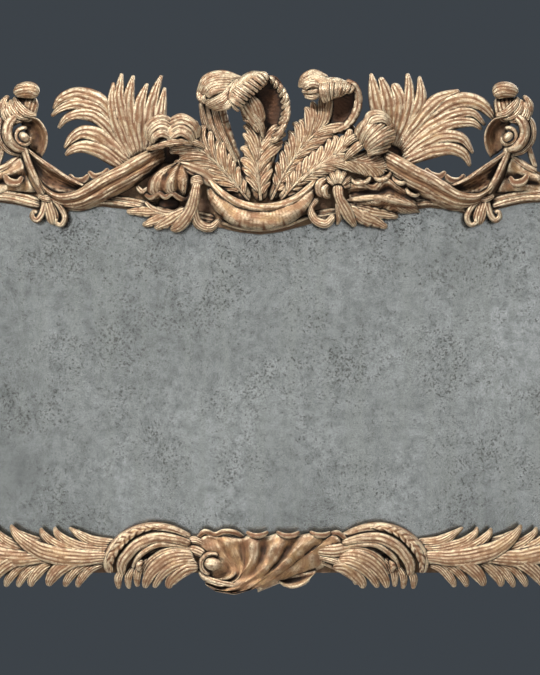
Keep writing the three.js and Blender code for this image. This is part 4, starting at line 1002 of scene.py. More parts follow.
leafSprigRight = {
    **sprig,
    "strokes": [
        *strokes(leafCut, [
            [(142, 26, 26, 38), (146, 0, 20, 42), (162, -30, 26, 38), (178, -58, 10, 26)],
            [(144, -8, 14, 36), (146, -36, 14, 32), (142, -54, 6, 24)],
            [(138, -34, 14, 30), (120, -52, 18, 28), (98, -44, 18, 24), (90, -22, 14, 22),
             (104, -2, 12, 24)]]),
        *strokes(lobedCut, [
            [(150, -14, 14, 34), (186, -36, 28, 28), (208, -56, 10, 20)],
            [(156, -22, 14, 30), (206, -42, 28, 24), (242, -60, 10, 14)],
            [(160, -16, 14, 26), (216, -30, 26, 20), (264, -38, 10, 12)]]),
        # the small flower whose throat the sprig hangs from
        *strands(leafCut, 6, [
            [(122, 40, 22), (132, 52, 24), (150, 54, 26), (166, 42, 24), (172, 28, 20)],
            [(130, 32, 34), (138, 40, 38), (148, 42, 40), (158, 34, 38), (162, 24, 32)],
            [(138, 24, 38), (142, 26, 40), (146, 27, 42), (150, 25, 40), (152, 20, 36)]],
            (14, 13, 6), seed=51, thick=14),
        *strokes(cutLike(reeds=3, reedDepth=1.1, wander=1.0), [
            [(122, 38, 10, 24), (108, 28, 20, 28), (106, 12, 18, 28), (114, 2, 8, 24)],
            [(126, 26, 10, 28), (116, 16, 16, 32), (120, 4, 14, 30), (130, 2, 7, 28)]]),
    ],
}
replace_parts(carvePiece("carvedLeafSprigRight", leafSprigRight, onCrest), "leaf_sprig_right")

bloom = {
    "ground": crestGround, "low": 20, "rise": 10, "thick": 14,
    "strokes": [
        dict(cut=cutLike(wander=1.0, spacing=2.4, reeds=7, reedDepth=0.5), thick=14, guides=[
            [(-176, 70, 20), (-206, 60, 22), (-233, 38, 20), (-238, 12, 18), (-226, -6, 16)],
            [(-175, 72, 30), (-200, 60, 44), (-220, 38, 50), (-224, 12, 46), (-214, -2, 34)],
            [(-172, 72, 28), (-190, 54, 42), (-204, 32, 46), (-206, 12, 40), (-202, 4, 32)],
            [(-170, 73, 32), (-182, 55, 54), (-190, 34, 62), (-190, 12, 56), (-190, 2, 42)],
            [(-168, 72, 28), (-174, 54, 44), (-177, 34, 48), (-176, 16, 42), (-176, 5, 34)],
            [(-166, 71, 28), (-165, 53, 42), (-162, 36, 46), (-162, 14, 40), (-168, -4, 30)],
            [(-163, 67, 16), (-156, 52, 18), (-150, 34, 18), (-154, 12, 16), (-163, -6, 16)]]),
        # the rim, turned outward in waves, over the dark mouth
        *strokes(cutLike(dish=1.5, wander=1.0), [
            [(-240, 6, 8, 20), (-228, 0, 11, 32), (-214, 9, 10, 40), (-200, 1, 11, 42), (-187, 8, 10, 48),
             (-174, 0, 11, 42), (-160, -4, 9, 32), (-152, 6, 7, 24)]], thick=11),
        # a sheet painted dark all over (shade 1): painted shade inside the mouth
        *strokes(cutLike(shade=1, wander=0.5), [
            [(-216, -14, 20, 16), (-196, -12, 26, 18), (-172, -12, 18, 16)]], thick=12),
        *strokes(cutLike(reeds=2, reedDepth=0.9, wander=1.0), [
            [(-240, -8, 9, 16), (-226, -22, 13, 22), (-204, -30, 14, 26), (-180, -30, 14, 26),
             (-160, -18, 12, 22)],
            [(-258, 24, 10, 12), (-246, 12, 13, 16), (-232, 20, 9, 18)],
            [(-160, 68, 9, 20), (-142, 62, 14, 24), (-134, 46, 12, 24), (-146, 38, 8, 22)]], thick=12),
    ],
}
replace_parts(carvePiece("carvedBloom", bloom, onCrest), "bloom")

rocailleShell = {
    "ground": crestGround, "low": 8, "rise": 10, "thick": 12,
    "strokes": [
        dict(cut=cutLike(wander=2.2, spacing=2.6, reeds=9, reedDepth=0.8), thick=12, guides=[
            [(160, 34, 18), (190, 40, 24), (212, 31, 20), (236, 48, 26), (256, 36, 22), (280, 18, 16)],
            [(162, 24, 34), (190, 28, 40), (214, 21, 34), (238, 36, 44), (260, 24, 38), (288, 8, 26)],
            [(164, 8, 22), (194, 9, 24), (220, 6, 28), (244, 17, 26), (266, 7, 26), (296, -2, 20)],
            [(168, -6, 32), (202, -6, 36), (232, -2, 40), (262, -7, 36), (300, -12, 24)],
            [(172, -20, 22), (208, -20, 22), (240, -16, 26), (272, -19, 24), (304, -22, 14)],
            [(178, -36, 10), (214, -36, 14), (248, -32, 14), (280, -32, 12), (308, -30, 6)]]),
        # rolled lips of its frilled upper edge
        *strokes(cutLike(wander=0.6), [
            [(166, 42, 7, 22), (176, 30, 9, 34), (190, 28, 9, 40), (204, 34, 9, 36), (210, 46, 7, 26)],
            [(212, 48, 7, 26), (222, 36, 9, 38), (236, 36, 9, 44), (246, 44, 8, 36), (250, 54, 6, 26)],
            [(248, 48, 7, 24), (256, 34, 9, 34), (270, 28, 9, 38), (282, 34, 7, 28)],
            [(276, 26, 7, 20), (284, 10, 9, 28), (298, 4, 8, 28), (310, 12, 6, 18)],
            [(160, -8, 8, 24), (190, -2, 12, 36), (222, 0, 12, 38), (252, -6, 11, 36), (290, -14, 8, 24)]],
            thick=11),
    ],
}
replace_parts(carvePiece("carvedShell", rocailleShell, onCrest), "rocaille_shell")
print("flower, sprigs and shell carved")


# crest: drapery

drape = {"ground": crestGround, "low": 10, "rise": 10, "thick": 16}

clothSheet = cutLike(wander=1.2, spacing=2.8, reeds=8, reedDepth=0.8)
drapeGuides = {
    "trough": [
        [(-476, 100, 26), (-448, 79, 32), (-418, 59, 34), (-388, 39, 36), (-360, 25, 34)],
        [(-473, 92, 30), (-446, 71, 38), (-417, 52, 38), (-388, 33, 38), (-362, 22, 34)],
        [(-470, 84, 20), (-446, 60, 20), (-417, 41, 20), (-388, 27, 20), (-365, 19, 24)],
        [(-466, 74, 12), (-446, 44, 12), (-418, 27, 12), (-388, 19, 14), (-368, 15, 18)],
        [(-462, 60, 16), (-446, 26, 16), (-418, 8, 18), (-386, 8, 22), (-364, 14, 24)]],
    "drape": [
        [(-464, 66, 18), (-446, 28, 24), (-417, 9, 30), (-383, 13, 36), (-356, 29, 38), (-328, 46, 40),
         (-296, 62, 42), (-262, 82, 40), (-230, 98, 34), (-206, 112, 14)],
        [(-461, 58, 26), (-443, 20, 34), (-415, 1, 40), (-381, 4, 46), (-354, 18, 48), (-325, 35, 50),
         (-293, 51, 52), (-260, 70, 50), (-229, 87, 42), (-204, 102, 18)],
        [(-456, 48, 18), (-439, 10, 24), (-411, -7, 31), (-379, -6, 37), (-351, 6, 39), (-320, 22, 41),
         (-288, 38, 42), (-256, 56, 40), (-227, 74, 34), (-202, 92, 14)],
        [(-450, 38, 16), (-434, 2, 24), (-406, -14, 28), (-374, -15, 32), (-345, -4, 34), (-313, 12, 36),
         (-281, 28, 36), (-252, 45, 34), (-225, 62, 30), (-200, 82, 14)],
        [(-444, 26, 6), (-427, -10, 8), (-400, -24, 8), (-370, -27, 8), (-337, -17, 8), (-304, -1, 8),
         (-272, 16, 8), (-245, 34, 8), (-222, 50, 10), (-198, 74, 6)]],
    "lips": [
        [(-392, 46, 8, 8), (-382, 34, 14, 12), (-364, 34, 15, 14), (-352, 46, 9, 12)],
        [(-354, 52, 8, 12), (-342, 42, 14, 16), (-324, 46, 14, 18), (-314, 58, 8, 16)]],
}


def turnedRight(guides, shift, last=None):
    return [[(-row[0] + shift, *row[1:]) for row in rows[:last]] for rows in guides]


ribbonLeft = {
    **drape,
    "strokes": [
        # the trough is painted slightly darker (shade 0.1): painted shade
        dict(cut={**clothSheet, "shade": 0.1}, thick=10, guides=drapeGuides["trough"]),
        dict(cut=clothSheet, thick=12, guides=drapeGuides["drape"]),
        *strokes(cutLike(dish=3, wander=1.0, crown=3), drapeGuides["lips"], thick=11),
    ],
}
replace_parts(carvePiece("carvedRibbonLeft", ribbonLeft, onCrest), "ribbon_left")

ribbonRight = {
    **drape,
    "strokes": [
        # the trough is painted slightly darker (shade 0.1): painted shade
        dict(cut={**clothSheet, "shade": 0.1}, thick=10, guides=turnedRight(drapeGuides["trough"], 8)),
        dict(cut=clothSheet, thick=12, guides=turnedRight(drapeGuides["drape"], 6, -1)),
        *strokes(cutLike(dish=3, wander=1.0, crown=3), turnedRight(drapeGuides["lips"], 4), thick=11),
    ],
}
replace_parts(carvePiece("carvedRibbonRight", ribbonRight, onCrest), "ribbon_right")

scrollStem = {
    "ground": crestGround, "low": 10, "rise": 4, "thick": 20,
    "strokes": [
        # the smooth cap on its neck
        *strokes(cutLike(wander=2.0, reeds=5, reedDepth=0.7, crown=2.6, spacing=2.4), [
            [(-498, 207, 18, 22), (-488, 213, 30, 29), (-470, 214, 34, 31),
             (-454, 205, 26, 26)]], thick=32),
        *strokes(cutLike(reeds=6, reedDepth=1.8, wander=1.6), [
            [(-473, 206, 42, 10), (-477, 186, 48, 16), (-490, 152, 54, 16)]], thick=30),
        # crumpled leaf over the trunk
        *strands(leafCut, 4, [
            [(-520, 186, 18), (-500, 200, 20)], [(-524, 168, 24), (-494, 186, 32)],
            [(-514, 152, 24), (-478, 170, 36)],
            [(-498, 146, 22), (-456, 164, 28)]], (9, 17, 18, 8), seed=62, thick=14),
        *strokes(leafCut, [
            [(-518, 158, 20, 14), (-523, 184, 22, 16), (-514, 204, 7, 14)]], thick=18),
        # the volute round its eye, and the flared leaf beside it
        *strokes(leafCut, [
            [(-512, 168, 12, 10), (-530, 146, 15, 12), (-530, 116, 15, 12), (-510, 92, 14, 12),
             (-486, 86, 9, 12)]]),
        *strokes(cutLike(wander=1.2, reeds=2, reedDepth=1.2), [
            [(-496, 166, 18, 24), (-513, 146, 22, 30), (-514, 120, 22, 31), (-500, 101, 19, 29),
             (-480, 95, 12, 24)]], thick=24),
        *strokes(rollCut, [
            [(-476, 139, 8, 24), (-487, 138, 11, 25), (-496, 132, 12, 26), (-499, 122, 12, 27),
             (-495, 112, 12, 28), (-487, 107, 11, 29), (-478, 107, 11, 30), (-471, 113, 10, 31),
             (-469, 121, 7, 32)]], thick=14),
        *strokes(rollCut, [
            [(-487, 125, 12, 30), (-482, 121, 17, 38), (-477, 117, 12, 30)]], thick=22),
        # the flare's inside painted darker (shade 0.25): painted shade
        dict(cut=cutLike(wander=1.0, spacing=2.6, shade=0.25), thick=9, guides=[
            [(-488, 146, 16), (-482, 136, 14), (-478, 122, 14), (-476, 108, 14), (-474, 98, 12)],
            [(-488, 153, 16), (-468, 146, 12), (-456, 126, 10), (-456, 104, 10), (-462, 88, 10)],
            [(-486, 158, 26), (-460, 152, 22), (-445, 128, 20), (-446, 102, 20), (-454, 84, 16)],
            [(-484, 163, 38), (-454, 157, 38), (-436, 130, 38), (-437, 100, 36), (-448, 78, 28)]]),
        # bands that run down into the drapery
        *strokes(cutLike(reeds=2, reedDepth=1.3, wander=0.8), [
            [(-484, 104, 16, 24), (-476, 78, 16, 24), (-462, 44, 15, 24), (-440, 6, 12, 20)],
            [(-482, 100, 14, 14), (-490, 70, 18, 8)],
            [(-486, 84, 14, 10), (-512, 66, 16, 10), (-540, 50, 16, 8)],
            [(-519, 126, 10, 12), (-526, 92, 12, 8), (-537, 58, 12, 6)]], thick=14),
        # crumpled cloth between the band and the sight moulding
        dict(cut=cutLike(wander=2.2, spacing=2.8), thick=8, guides=[
            [(-548, 44, 10), (-514, 60, 14), (-488, 82, 18)],
            [(-548, 36, 18), (-512, 50, 20), (-482, 66, 22)],
            [(-548, 26, 6), (-510, 36, 6), (-476, 46, 8)], [(-548, 16, 12), (-506, 24, 14), (-468, 28, 14)],
            [(-548, 2, 4), (-500, 8, 6), (-456, 8, 6)]]),
        *strokes(cutLike(dish=3, wander=1.0), [
            [(-522, 46, 9, 18), (-512, 32, 16, 24), (-494, 30, 14, 24), (-486, 42, 8, 18)]], thick=11),
    ],
}
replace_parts(carvePiece("carvedScrollStemLeft", scrollStem, onCrest), "scroll_stem_left")
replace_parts(carvePiece("carvedScrollStemRight", scrollStem, onCrest, True), "scroll_stem_right")

drip = {
    "ground": crestGround, "low": 8, "rise": 6, "thick": 20,
    "strokes": [
        *strokes(cutLike(reeds=2, reedDepth=1.2, wander=0.8), [
            [(-440, 8, 14, 10), (-441, -14, 15, 15), (-448, -35, 15, 17), (-458, -45, 13, 18),
             (-466, -38, 11, 19), (-463, -28, 9, 20), (-455, -30, 7, 21)],
            [(-426, 0, 14, 16), (-407, -24, 14, 20), (-401, -42, 13, 21), (-409, -54, 11, 21),
             (-419, -50, 9, 22), (-417, -41, 7, 23)]], thick=17),
        *strokes(cutLike(reeds=5, reedDepth=1.9, wander=1.2), [
            [(-437, 6, 18, 10), (-431, -18, 26, 16), (-425, -40, 28, 17), (-424, -54, 16, 13)]]),
        *strokes(leafCut, [[(-454, 4, 9, 14), (-436, -2, 17, 22), (-416, 4, 9, 14)]], thick=14),
    ],
}
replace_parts(carvePiece("carvedDripLeft", drip, onCrest), "drip_left")
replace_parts(carvePiece("carvedDripRight", drip, onCrest, True), "drip_right")

palm = {"ground": crestGround, "low": 8, "rise": 8, "thick": 15, "cut": frondCut, "broader": 1.28}


def broadened(rowsList, times):
    return [[(row[0], row[1], row[2] * (times if k < len(rows) - 1 else 1.3), *row[3:])
             for k, row in enumerate(rows)] for rows in rowsList]


palmSprayLeft = {
    **palm,
    "strokes": [
        # a low sheet painted dark (shade 0.9): painted shade where the fronds meet
        *strokes(cutLike(shade=0.9, reeds=3, reedDepth=1.2, wander=1.0), [
            [(-200, 104, 26, 3), (-228, 100, 50, 4), (-262, 88, 46, 4), (-286, 78, 20, 3)]], thick=9),
        *strokes(frondCut, broadened([
            [(-264, 84, 12), (-300, 146, 24), (-332, 190, 28), (-376, 205, 24), (-408, 196, 16),
             (-424, 176, 5)],
            [(-268, 80, 12), (-306, 144, 22), (-338, 178, 22), (-380, 187, 20), (-408, 178, 13),
             (-428, 162, 5)],
            [(-272, 76, 12), (-306, 130, 22), (-338, 160, 22), (-372, 167, 18), (-398, 158, 13),
             (-414, 138, 5)],
            [(-270, 70, 14), (-308, 102, 28), (-338, 124, 28), (-364, 130, 22), (-386, 118, 16),
             (-402, 98, 5)],
            [(-284, 58, 14), (-314, 84, 24), (-340, 98, 24), (-366, 102, 20), (-386, 96, 14),
             (-400, 84, 5)],
            [(-264, 80, 12), (-294, 136, 24), (-306, 184, 19), (-304, 230, 5)],
            [(-260, 84, 12), (-282, 146, 27), (-292, 200, 21), (-288, 248, 5)],
            [(-254, 86, 12), (-268, 146, 27), (-274, 200, 21), (-264, 244, 5)],
            [(-248, 88, 12), (-252, 140, 27), (-250, 190, 21), (-236, 228, 5)],
            [(-242, 90, 12), (-234, 140, 27), (-226, 194, 21), (-208, 244, 5)],
            [(-234, 96, 14), (-218, 140, 25), (-208, 184, 17), (-202, 220, 5)]], palm["broader"])),
    ],
}
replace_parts(carvePiece("carvedPalmLeft", palmSprayLeft, onCrest), "palm_spray_left")

palmSprayRight = {
    **palm,
    "strokes": [
        # a low sheet painted dark (shade 0.9): painted shade where the fronds meet
        *strokes(cutLike(shade=0.9, reeds=3, reedDepth=1.2, wander=1.0), [
            [(222, 92, 26, 3), (244, 96, 52, 4), (268, 92, 48, 4), (292, 80, 20, 3)]], thick=9),
        *strokes(frondCut, broadened([
            [(244, 104, 14), (230, 156, 27), (218, 206, 23), (209, 248, 5)],
            [(248, 104, 14), (246, 158, 27), (240, 204, 23), (228, 240, 9)],
            [(252, 104, 14), (264, 158, 27), (266, 196, 25), (254, 228, 13)],
            [(256, 102, 12), (276, 160, 27), (286, 202, 21), (282, 248, 6)],
            [(262, 100, 12), (294, 160, 25), (308, 198, 21), (306, 242, 5)],
            [(264, 98, 12), (304, 156, 25), (344, 194, 23), (386, 213, 7)],
            [(266, 96, 12), (328, 162, 25), (378, 192, 27), (424, 188, 23), (448, 168, 15), (461, 148, 5)],
            [(270, 90, 12), (326, 138, 23), (378, 166, 21), (412, 168, 15), (437, 144, 5)],
            [(272, 84, 12), (322, 122, 23), (360, 144, 21), (410, 150, 15), (431, 136, 5)],
            [(272, 76, 12), (318, 108, 23), (364, 123, 23), (392, 116, 17), (413, 88, 5)],
            [(268, 68, 16), (324, 92, 25), (368, 98, 21), (394, 88, 17), (407, 62, 5)]], palm["broader"])),
    ],
}
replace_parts(carvePiece("carvedPalmRight", palmSprayRight, onCrest), "palm_spray_right")

cornerArch = [(-644, -94), (-636, -56), (-612, -20), (-572, -2), (-532, 0), (-492, -6), (-448, -18)]
leftArch = [(-452, -20), (-412, -22), (-372, -12), (-326, -8), (-276, -14), (-212, -28), (-152, -40),
            (-102, -48)]
rightArch = [(452, -20), (408, -26), (378, -16), (328, -10), (264, -18), (208, -28), (148, -34), (92, -42)]


def archStrokes(arch, width):
    inner = [(x, z, width * 0.52, 8) for x, z in arch]
    outer = [(x, z + width * 0.36, width * 0.62, 4) for x, z in arch]
    return strokes(reedCut, [inner, outer])


topMoulding = {"ground": crestGround, "low": 6, "rise": 0, "thick": 14}
mouldings = {
    "left": archStrokes(cornerArch, 26) + archStrokes(leftArch, 24),
    "right": archStrokes([(-x, z) for x, z in cornerArch], 26) + archStrokes(rightArch, 24),
}
for word, bars in mouldings.items():
    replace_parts(carvePiece("carvedTopMoulding" + word.title(), {**topMoulding, "strokes": bars}, onCrest),
                "top_moulding_" + word)

topShoulder = {
    "ground": crestGround, "low": 8, "rise": 6, "thick": 18,
    "strokes": [
        *strokes(reedCut, [
            [(-548, 46, 14, 8), (-600, 60, 26, 12), (-666, 46, 30, 14), (-716, 4, 30, 14),
             (-738, -54, 28, 12), (-724, -98, 20, 12), (-704, -86, 12, 12)]]),
        *strokes(lobedCut, [
            [(-560, 52, 14, 8), (-574, 88, 22, 10), (-566, 122, 6, 8)],
            [(-588, 58, 14, 8), (-620, 92, 24, 10), (-622, 132, 6, 8)],
            [(-634, 54, 14, 8), (-676, 82, 24, 10), (-690, 118, 6, 8)],
            [(-680, 30, 14, 8), (-728, 50, 24, 10), (-752, 80, 6, 8)],
            [(-712, -6, 14, 8), (-752, 4, 22, 10), (-776, 26, 6, 8)],
            [(-600, 52, 14, 8), (-640, 20, 24, 8), (-660, -24, 20, 6), (-668, -70, 6, 6)]]),
    ],
}
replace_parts(carvePiece("carvedShoulderLeft", topShoulder, onCrest), "top_shoulder_left")
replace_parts(carvePiece("carvedShoulderRight", topShoulder, onCrest, True), "top_shoulder_right")
print("drapery, palms and mouldings carved")


# base

softCut = cutLike(wander=1.5, spacing=2.6)

baseKnot = {
    "ground": baseGround, "low": 12, "rise": 14, "thick": 22,
    "strokes": [
        # wide folds that sweep down to the tail under the ball; ridge and valley in turn
        dict(cut=softCut, thick=20, guides=[
            [(-156, 18, 10), (-146, -4, 12), (-132, -20, 14), (-118, -34, 16)],
            [(-122, 30, 26), (-104, 2, 32), (-82, -26, 28), (-76, -44, 24), (-94, -54, 24),
             (-114, -56, 20)],
            [(-100, 26, 30), (-82, -4, 26), (-68, -30, 28), (-66, -50, 32), (-88, -61, 34),
             (-114, -60, 34)],
            [(-80, 28, 28), (-64, 0, 32), (-54, -30, 28), (-58, -54, 26), (-86, -68, 26), (-118, -62, 18)],
            [(-48, 22, 28), (-44, -10, 24), (-44, -36, 30), (-58, -62, 34), (-88, -74, 35),
             (-120, -66, 32)],
            [(-28, 30, 38), (-22, -4, 44), (-34, -34, 40), (-58, -60, 32), (-88, -79, 26), (-122, -68, 14)],
            [(-2, 24, 32), (-6, -10, 30), (-20, -40, 32), (-46, -66, 35), (-80, -84, 34), (-118, -74, 28)],
            [(26, 31, 40), (20, -4, 44), (2, -34, 40), (-24, -60, 34), (-58, -83, 28), (-106, -82, 14)],
            [(58, 26, 32), (42, -6, 30), (20, -34, 32), (-12, -62, 34), (-48, -87, 30), (-98, -86, 26)],
            [(92, 31, 40), (66, 0, 44), (40, -24, 42), (10, -50, 36), (-26, -75, 28), (-78, -90, 12)],
            [(118, 24, 32), (92, -2, 30), (60, -26, 30), (28, -50, 30), (-8, -74, 30), (-58, -91, 24)],
            [(142, 29, 34), (114, 6, 34), (88, -12, 32), (56, -30, 28), (22, -56, 24), (-22, -80, 14)],
            [(168, 2, 10), (140, -22, 10), (106, -42, 8), (66, -54, 8), (26, -70, 8), (-16, -87, 6)]]),
        # the ball and the rim of cloth round it
        *strokes(rollCut, [
            [(-118, -28, 18, 38), (-106, -31, 26, 46), (-94, -31, 16, 38)]], thick=30),
        *strokes(cutLike(reeds=2, reedDepth=1.0, wander=0.6), [
            [(-112, -52, 8, 28), (-126, -42, 11, 26), (-128, -24, 12, 28), (-114, -12, 12, 32),
             (-96, -12, 10, 30)],
            [(-134, -40, 8, 14), (-124, -56, 12, 22), (-100, -66, 13, 30), (-72, -72, 12, 30),
             (-44, -76, 8, 24)]], thick=13),
        # lips of the rim, rolled over
        *strokes(cutLike(dish=2, wander=0.8), [
            [(-38, 33, 7, 28), (-26, 26, 11, 40), (-10, 26, 11, 42), (4, 33, 7, 30)],
            [(22, 33, 7, 30), (36, 26, 11, 42), (54, 26, 11, 42), (66, 33, 7, 30)],
            [(88, 33, 7, 30), (102, 27, 11, 40), (117, 27, 11, 38), (128, 32, 7, 28)],
            [(-136, 22, 8, 20), (-122, 34, 11, 28), (-102, 28, 10, 24), (-84, 34, 11, 30),
             (-62, 32, 11, 26), (-44, 22, 8, 16)],
            [(128, 28, 8, 26), (142, 32, 10, 32), (158, 20, 9, 28), (168, 8, 7, 22)]], thick=12),
        # the leaf ends that come out on either side
        *strokes(leafCut, [
            [(-168, 14, 12, 12), (-140, 16, 18, 18), (-118, 6, 12, 20)],
            [(-170, -2, 14, 14), (-140, -4, 24, 20), (-120, -14, 18, 20)],
            [(100, -4, 20, 22), (138, -4, 30, 26), (176, 2, 26, 20)],
            [(104, -16, 12, 20), (136, -24, 16, 24), (166, -38, 14, 22), (180, -46, 6, 16)],
            [(106, -26, 8, 12), (140, -38, 10, 14), (166, -50, 10, 14), (180, -72, 6, 10)]]),
        # the cup of the last curl, painted a little darker inside (shade 0.1) as painted shade
        dict(cut=cutLike(wander=0.7, spacing=2.6, shade=0.1), thick=12, guides=[
            [(14, -52, 10), (30, -58, 14), (62, -50, 12), (102, -42, 16)],
            [(20, -58, 16), (36, -64, 6), (62, -62, 4), (98, -50, 20)],
            [(26, -68, 20), (44, -74, 18), (68, -68, 16), (90, -58, 26)],
            [(34, -75, 14), (52, -80, 20), (74, -74, 22), (86, -66, 16)]]),
    ],
}
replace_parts(carvePiece("carvedBaseKnot", baseKnot, onBase), "base_knot")

laidLeafCut = cutLike(ribs=17, ribDepth=1.3, lean=9, lobes=17, lobeDepth=0.16, wander=1.8, spacing=1.8)
baseScroll = {
    "ground": baseGround, "low": 7, "rise": 12, "thick": 16,
    "strokes": [
        *strokes(cutLike(wander=0.8, reeds=2, reedDepth=0.9), [
            [(-150, 22, 14, 16), (-188, 37, 20, 20), (-226, 41, 24, 22), (-264, 31, 26, 22),
             (-295, 8, 28, 22), (-314, -22, 26, 20), (-312, -48, 16, 12)]], thick=24),
        *strokes(cutLike(wander=1.0, reeds=3, reedDepth=1.0), [
            [(-150, 10, 16, 24), (-192, 20, 22, 29), (-224, 21, 26, 31), (-252, 10, 27, 31),
             (-273, -8, 26, 30), (-287, -30, 24, 26), (-286, -54, 14, 16)]], thick=26),
        *strokes(cutLike(wander=0.8), [
            [(-154, 2, 10, 24), (-190, 8, 12, 30), (-216, 8, 13, 32), (-238, -2, 13, 32),
             (-256, -18, 12, 30), (-266, -38, 9, 22)]], thick=16),
        # small leaves laid along its back
        *strokes(laidLeafCut, [
            [(-206, 42, 7, 28), (-240, 39, 14, 32), (-272, 26, 18, 33), (-298, 0, 19, 33),
             (-311, -26, 16, 30), (-308, -48, 8, 20)]], thick=12),
        # a low sheet painted dark (shade 0.9): painted shade behind the leaves
        *strokes(cutLike(shade=0.9), [
            [(-160, -6, 22, 2), (-206, -4, 34, 2), (-236, -26, 28, 2), (-244, -46, 14, 2)]], thick=8),
        *strokes(cutLike(reeds=4, reedDepth=1.5, wander=0.9), [
            [(-146, 0, 16, 20), (-186, 1, 20, 24), (-238, -8, 8, 14)],
            [(-146, -8, 18, 24), (-190, -7, 24, 28), (-226, -24, 22, 24), (-246, -52, 10, 16)],
            [(-144, -16, 20, 26), (-186, -17, 30, 32), (-222, -40, 28, 28), (-238, -66, 20, 20),
             (-241, -78, 8, 14)],
            [(-140, -26, 18, 26), (-172, -27, 26, 32), (-204, -46, 24, 28), (-219, -68, 16, 20),
             (-222, -78, 8, 16)],
            [(-134, -36, 20, 24), (-156, -36, 32, 30), (-182, -54, 30, 26), (-192, -70, 20, 20),
             (-190, -78, 9, 16)],
            [(-236, -20, 12, 20), (-254, -44, 20, 20), (-257, -66, 14, 16), (-256, -76, 7, 12)],
            [(-262, -34, 12, 18), (-274, -54, 18, 20), (-274, -72, 12, 14), (-272, -80, 6, 12)],
            [(-284, -40, 12, 18), (-294, -58, 18, 20), (-294, -74, 11, 14), (-292, -80, 6, 12)]], thick=15),
        *strokes(cutLike(wander=1.6, ribs=7, ribDepth=1.2), [
            [(-246, -24, 8, 24), (-254, -34, 14, 30), (-250, -46, 8, 26)]], thick=14),
    ],
}
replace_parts(carvePiece("carvedBaseScrollLeft", baseScroll, onBase), "base_scroll_left")
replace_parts(carvePiece("carvedBaseScrollRight", baseScroll, onBase, True), "base_scroll_right")

broadLeaf = cutLike(reeds=5, reedDepth=1.7, wander=1.0)
leafUnit = [
    [(-300, 10, 20, 8), (-345, 13, 26, 14), (-372, 27, 18, 14), (-393, 42, 5, 8)],
    [(-300, -2, 20, 10), (-345, -3, 28, 16), (-393, 10, 26, 18), (-417, 30, 15, 16), (-421, 43, 5, 10)],
    [(-306, -10, 20, 12), (-372, -10, 30, 18), (-420, 6, 28, 20), (-444, 28, 16, 18), (-449, 41, 5, 12)],
    [(-322, -28, 14, 10), (-350, -38, 22, 14), (-372, -64, 17, 14), (-376, -77, 8, 10)],
    [(-328, -24, 14, 12), (-370, -34, 24, 16), (-396, -62, 18, 16), (-401, -76, 8, 10)],
    [(-300, -22, 20, 16), (-366, -17, 32, 22), (-408, -36, 32, 24), (-430, -62, 22, 20),
     (-433, -74, 9, 14)],
    [(-404, -22, 16, 12), (-444, -36, 26, 16), (-466, -60, 22, 16), (-469, -76, 9, 12)],
    [(-312, -16, 22, 20), (-396, -18, 38, 26), (-460, 0, 34, 28), (-497, 28, 20, 24), (-509, 47, 6, 14)],
]
leafRun = {"ground": baseGround, "low": 5, "rise": 12, "thick": 17, "pitch": 118, "units": 3}
leafRun["strokes"] = [
    dict(cut=broadLeaf, rows=[(row[0] - unit * leafRun["pitch"], *row[1:]) for row in rows])
    for unit in reversed(range(leafRun["units"])) for rows in leafUnit
    if rows[-1][0] - unit * leafRun["pitch"] > -650
]
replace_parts(carvePiece("carvedLeafRunLeft", leafRun, onBase), "leaf_run_left")
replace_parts(carvePiece("carvedLeafRunRight", leafRun, onBase, True), "leaf_run_right")

bottomCorner = {
    "ground": baseGround, "low": 6, "rise": 10, "thick": 16,
    "strokes": [
        *strokes(reedCut, [
            [(-612, -22, 14), (-660, -34, 28), (-716, -26, 30), (-748, 20, 30), (-742, 70, 24),
             (-718, 76, 12)]]),
        *strokes(lobedCut, [
            [(-640, -32, 14), (-672, -56, 22), (-708, -74, 6)],
            [(-684, -32, 14), (-728, -50, 24), (-758, -66, 6)],
            [(-726, -10, 14), (-758, -16, 22), (-778, -34, 6)],
            [(-650, -20, 14), (-676, 10, 22), (-670, 44, 6)]]),
    ],
}
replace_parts(carvePiece("carvedBottomCornerLeft", bottomCorner, onBase), "bottom_corner_left")
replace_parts(carvePiece("carvedBottomCornerRight", bottomCorner, onBase, True), "bottom_corner_right")
print("base carved")


# sides

sideCarving = {"ground": sideGround, "low": 16, "rise": 8, "thick": 16, "leaves": 3, "pitch": 66}


def sideStrokes():
    upper = [(reedCut, [(30, 6, 28), (34, 110, 32), (32, 214, 14)])]
    for i in range(sideCarving["leaves"]):
        z = 20 + i * sideCarving["pitch"]
        upper.append((lobedCut, [(36, z, 14), (70, z + 18, 26), (104, z + 60, 6)]))
        upper.append((leafCut, [(28, z, 14), (8, z + 20, 20), (-8, z + 52, 5)]))
    lower = [(cut, [(x, -z, w) for x, z, w in rows]) for cut, rows in upper]
    heart = [(curlCut, [(44, -40, 16, 22), (22, -20, 32, 24), (22, 20, 32, 24), (44, 40, 16, 22)])]
    return [dict(cut=cut, rows=rows) for cut, rows in upper + lower + heart]


sideCarving["strokes"] = sideStrokes()
for word, sign in (("left", -1), ("right", 1)):
    node = "side_carving_" + word
    side = carvePiece("carvedSide" + word.title(), sideCarving, lambda x, z: (sign * (plateX + x), z))
    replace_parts(side, node)
print("sides carved")


# plate, sub-frame and fittings

def refinish(node, material):
    for held in bpy.data.objects[node].material_slots:
        held.material = material
    if not bpy.data.objects[node].material_slots:
        bpy.data.objects[node].data.materials.append(material)


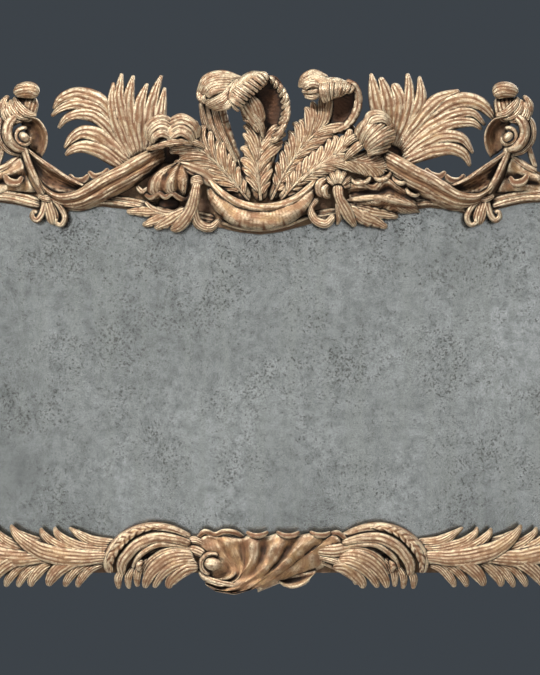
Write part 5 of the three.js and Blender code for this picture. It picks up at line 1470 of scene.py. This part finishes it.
for node in frame["nodes"]:
    made = bpy.data.objects.get(node)
    if made is None or made.type != "MESH":
        continue
    if node == "glass_plate":
        refinish(node, finishes["glass"])
    elif node == "silvering":
        refinish(node, finishes["silvering"])
    elif node in ("top_rail", "bottom_rail", "glazing_block_top_left", "glazing_block_top_right",
                  "glazing_block_bottom_left", "glazing_block_bottom_right"):
        refinish(node, finishes["pineAlong"])
    elif "screw" in node:
        refinish(node, finishes["steel"])
    elif "hanger" in node:
        refinish(node, finishes["brass"])
    elif node in ("crest_board", "lower_sight_rail"):
        # board and sight rail take the gilding with painted shade over all of it
        refinish(node, groundMaterial)
    elif node in ("left_stile", "right_stile", "centre_muntin", "backboard_left", "backboard_right",
                  "glazing_block_left", "glazing_block_right"):
        refinish(node, finishes["pineUpright"])
print("plate, sub-frame and fittings finished")


# painted shade in the hollows

# How much of the open air each point of the carving sees, by rays to the things round it; the gilding
# paints what is shut in dark, as painted shade.
hollowShadeRays = {"rays": 11, "reach": 0.05}


def paintHollowShade():
    corners, faces = [], []
    for piece in carved + [bpy.data.objects[n] for n in ("crest_board", "lower_sight_rail", "glass_plate",
                                                         "left_stile", "right_stile")]:
        mesh = piece.data
        start = len(corners)
        corners.extend(v.co.copy() for v in mesh.vertices)
        faces.extend([start + i for i in p.vertices] for p in mesh.polygons)
    tree = BVHTree.FromPolygons(corners, faces)
    dice = random.Random("dust")
    rays = []
    for i in range(hollowShadeRays["rays"]):
        height = (i + 0.5) / hollowShadeRays["rays"]
        turn = i * 2.39996 + dice.random() * 0.3
        flat = math.sqrt(1 - height * height)
        rays.append(Vector((flat * math.cos(turn), flat * math.sin(turn), height)))
    weights = [ray.z for ray in rays]
    total = sum(weights)
    for piece in carved:
        mesh = piece.data
        shade = []
        for vertex in mesh.vertices:
            normal = vertex.normal
            turn = normal.to_track_quat("Z", "Y")
            spot = vertex.co + normal * 0.0012
            shut = 0.0
            for ray, weight in zip(rays, weights):
                hit = tree.ray_cast(spot, turn @ ray, hollowShadeRays["reach"])[3]
                if hit is not None:
                    shut += weight * (1 - hit / hollowShadeRays["reach"])
            shade.append(min(1.0, 1.35 * shut / total))
        mesh.attributes["hollow"].data.foreach_set("value", shade)


paintHollowShade()
# every carved face now carries the painted shade of its hollows
print("hollows dusted:", sum(len(piece.data.polygons) for piece in carved), "faces of carving")
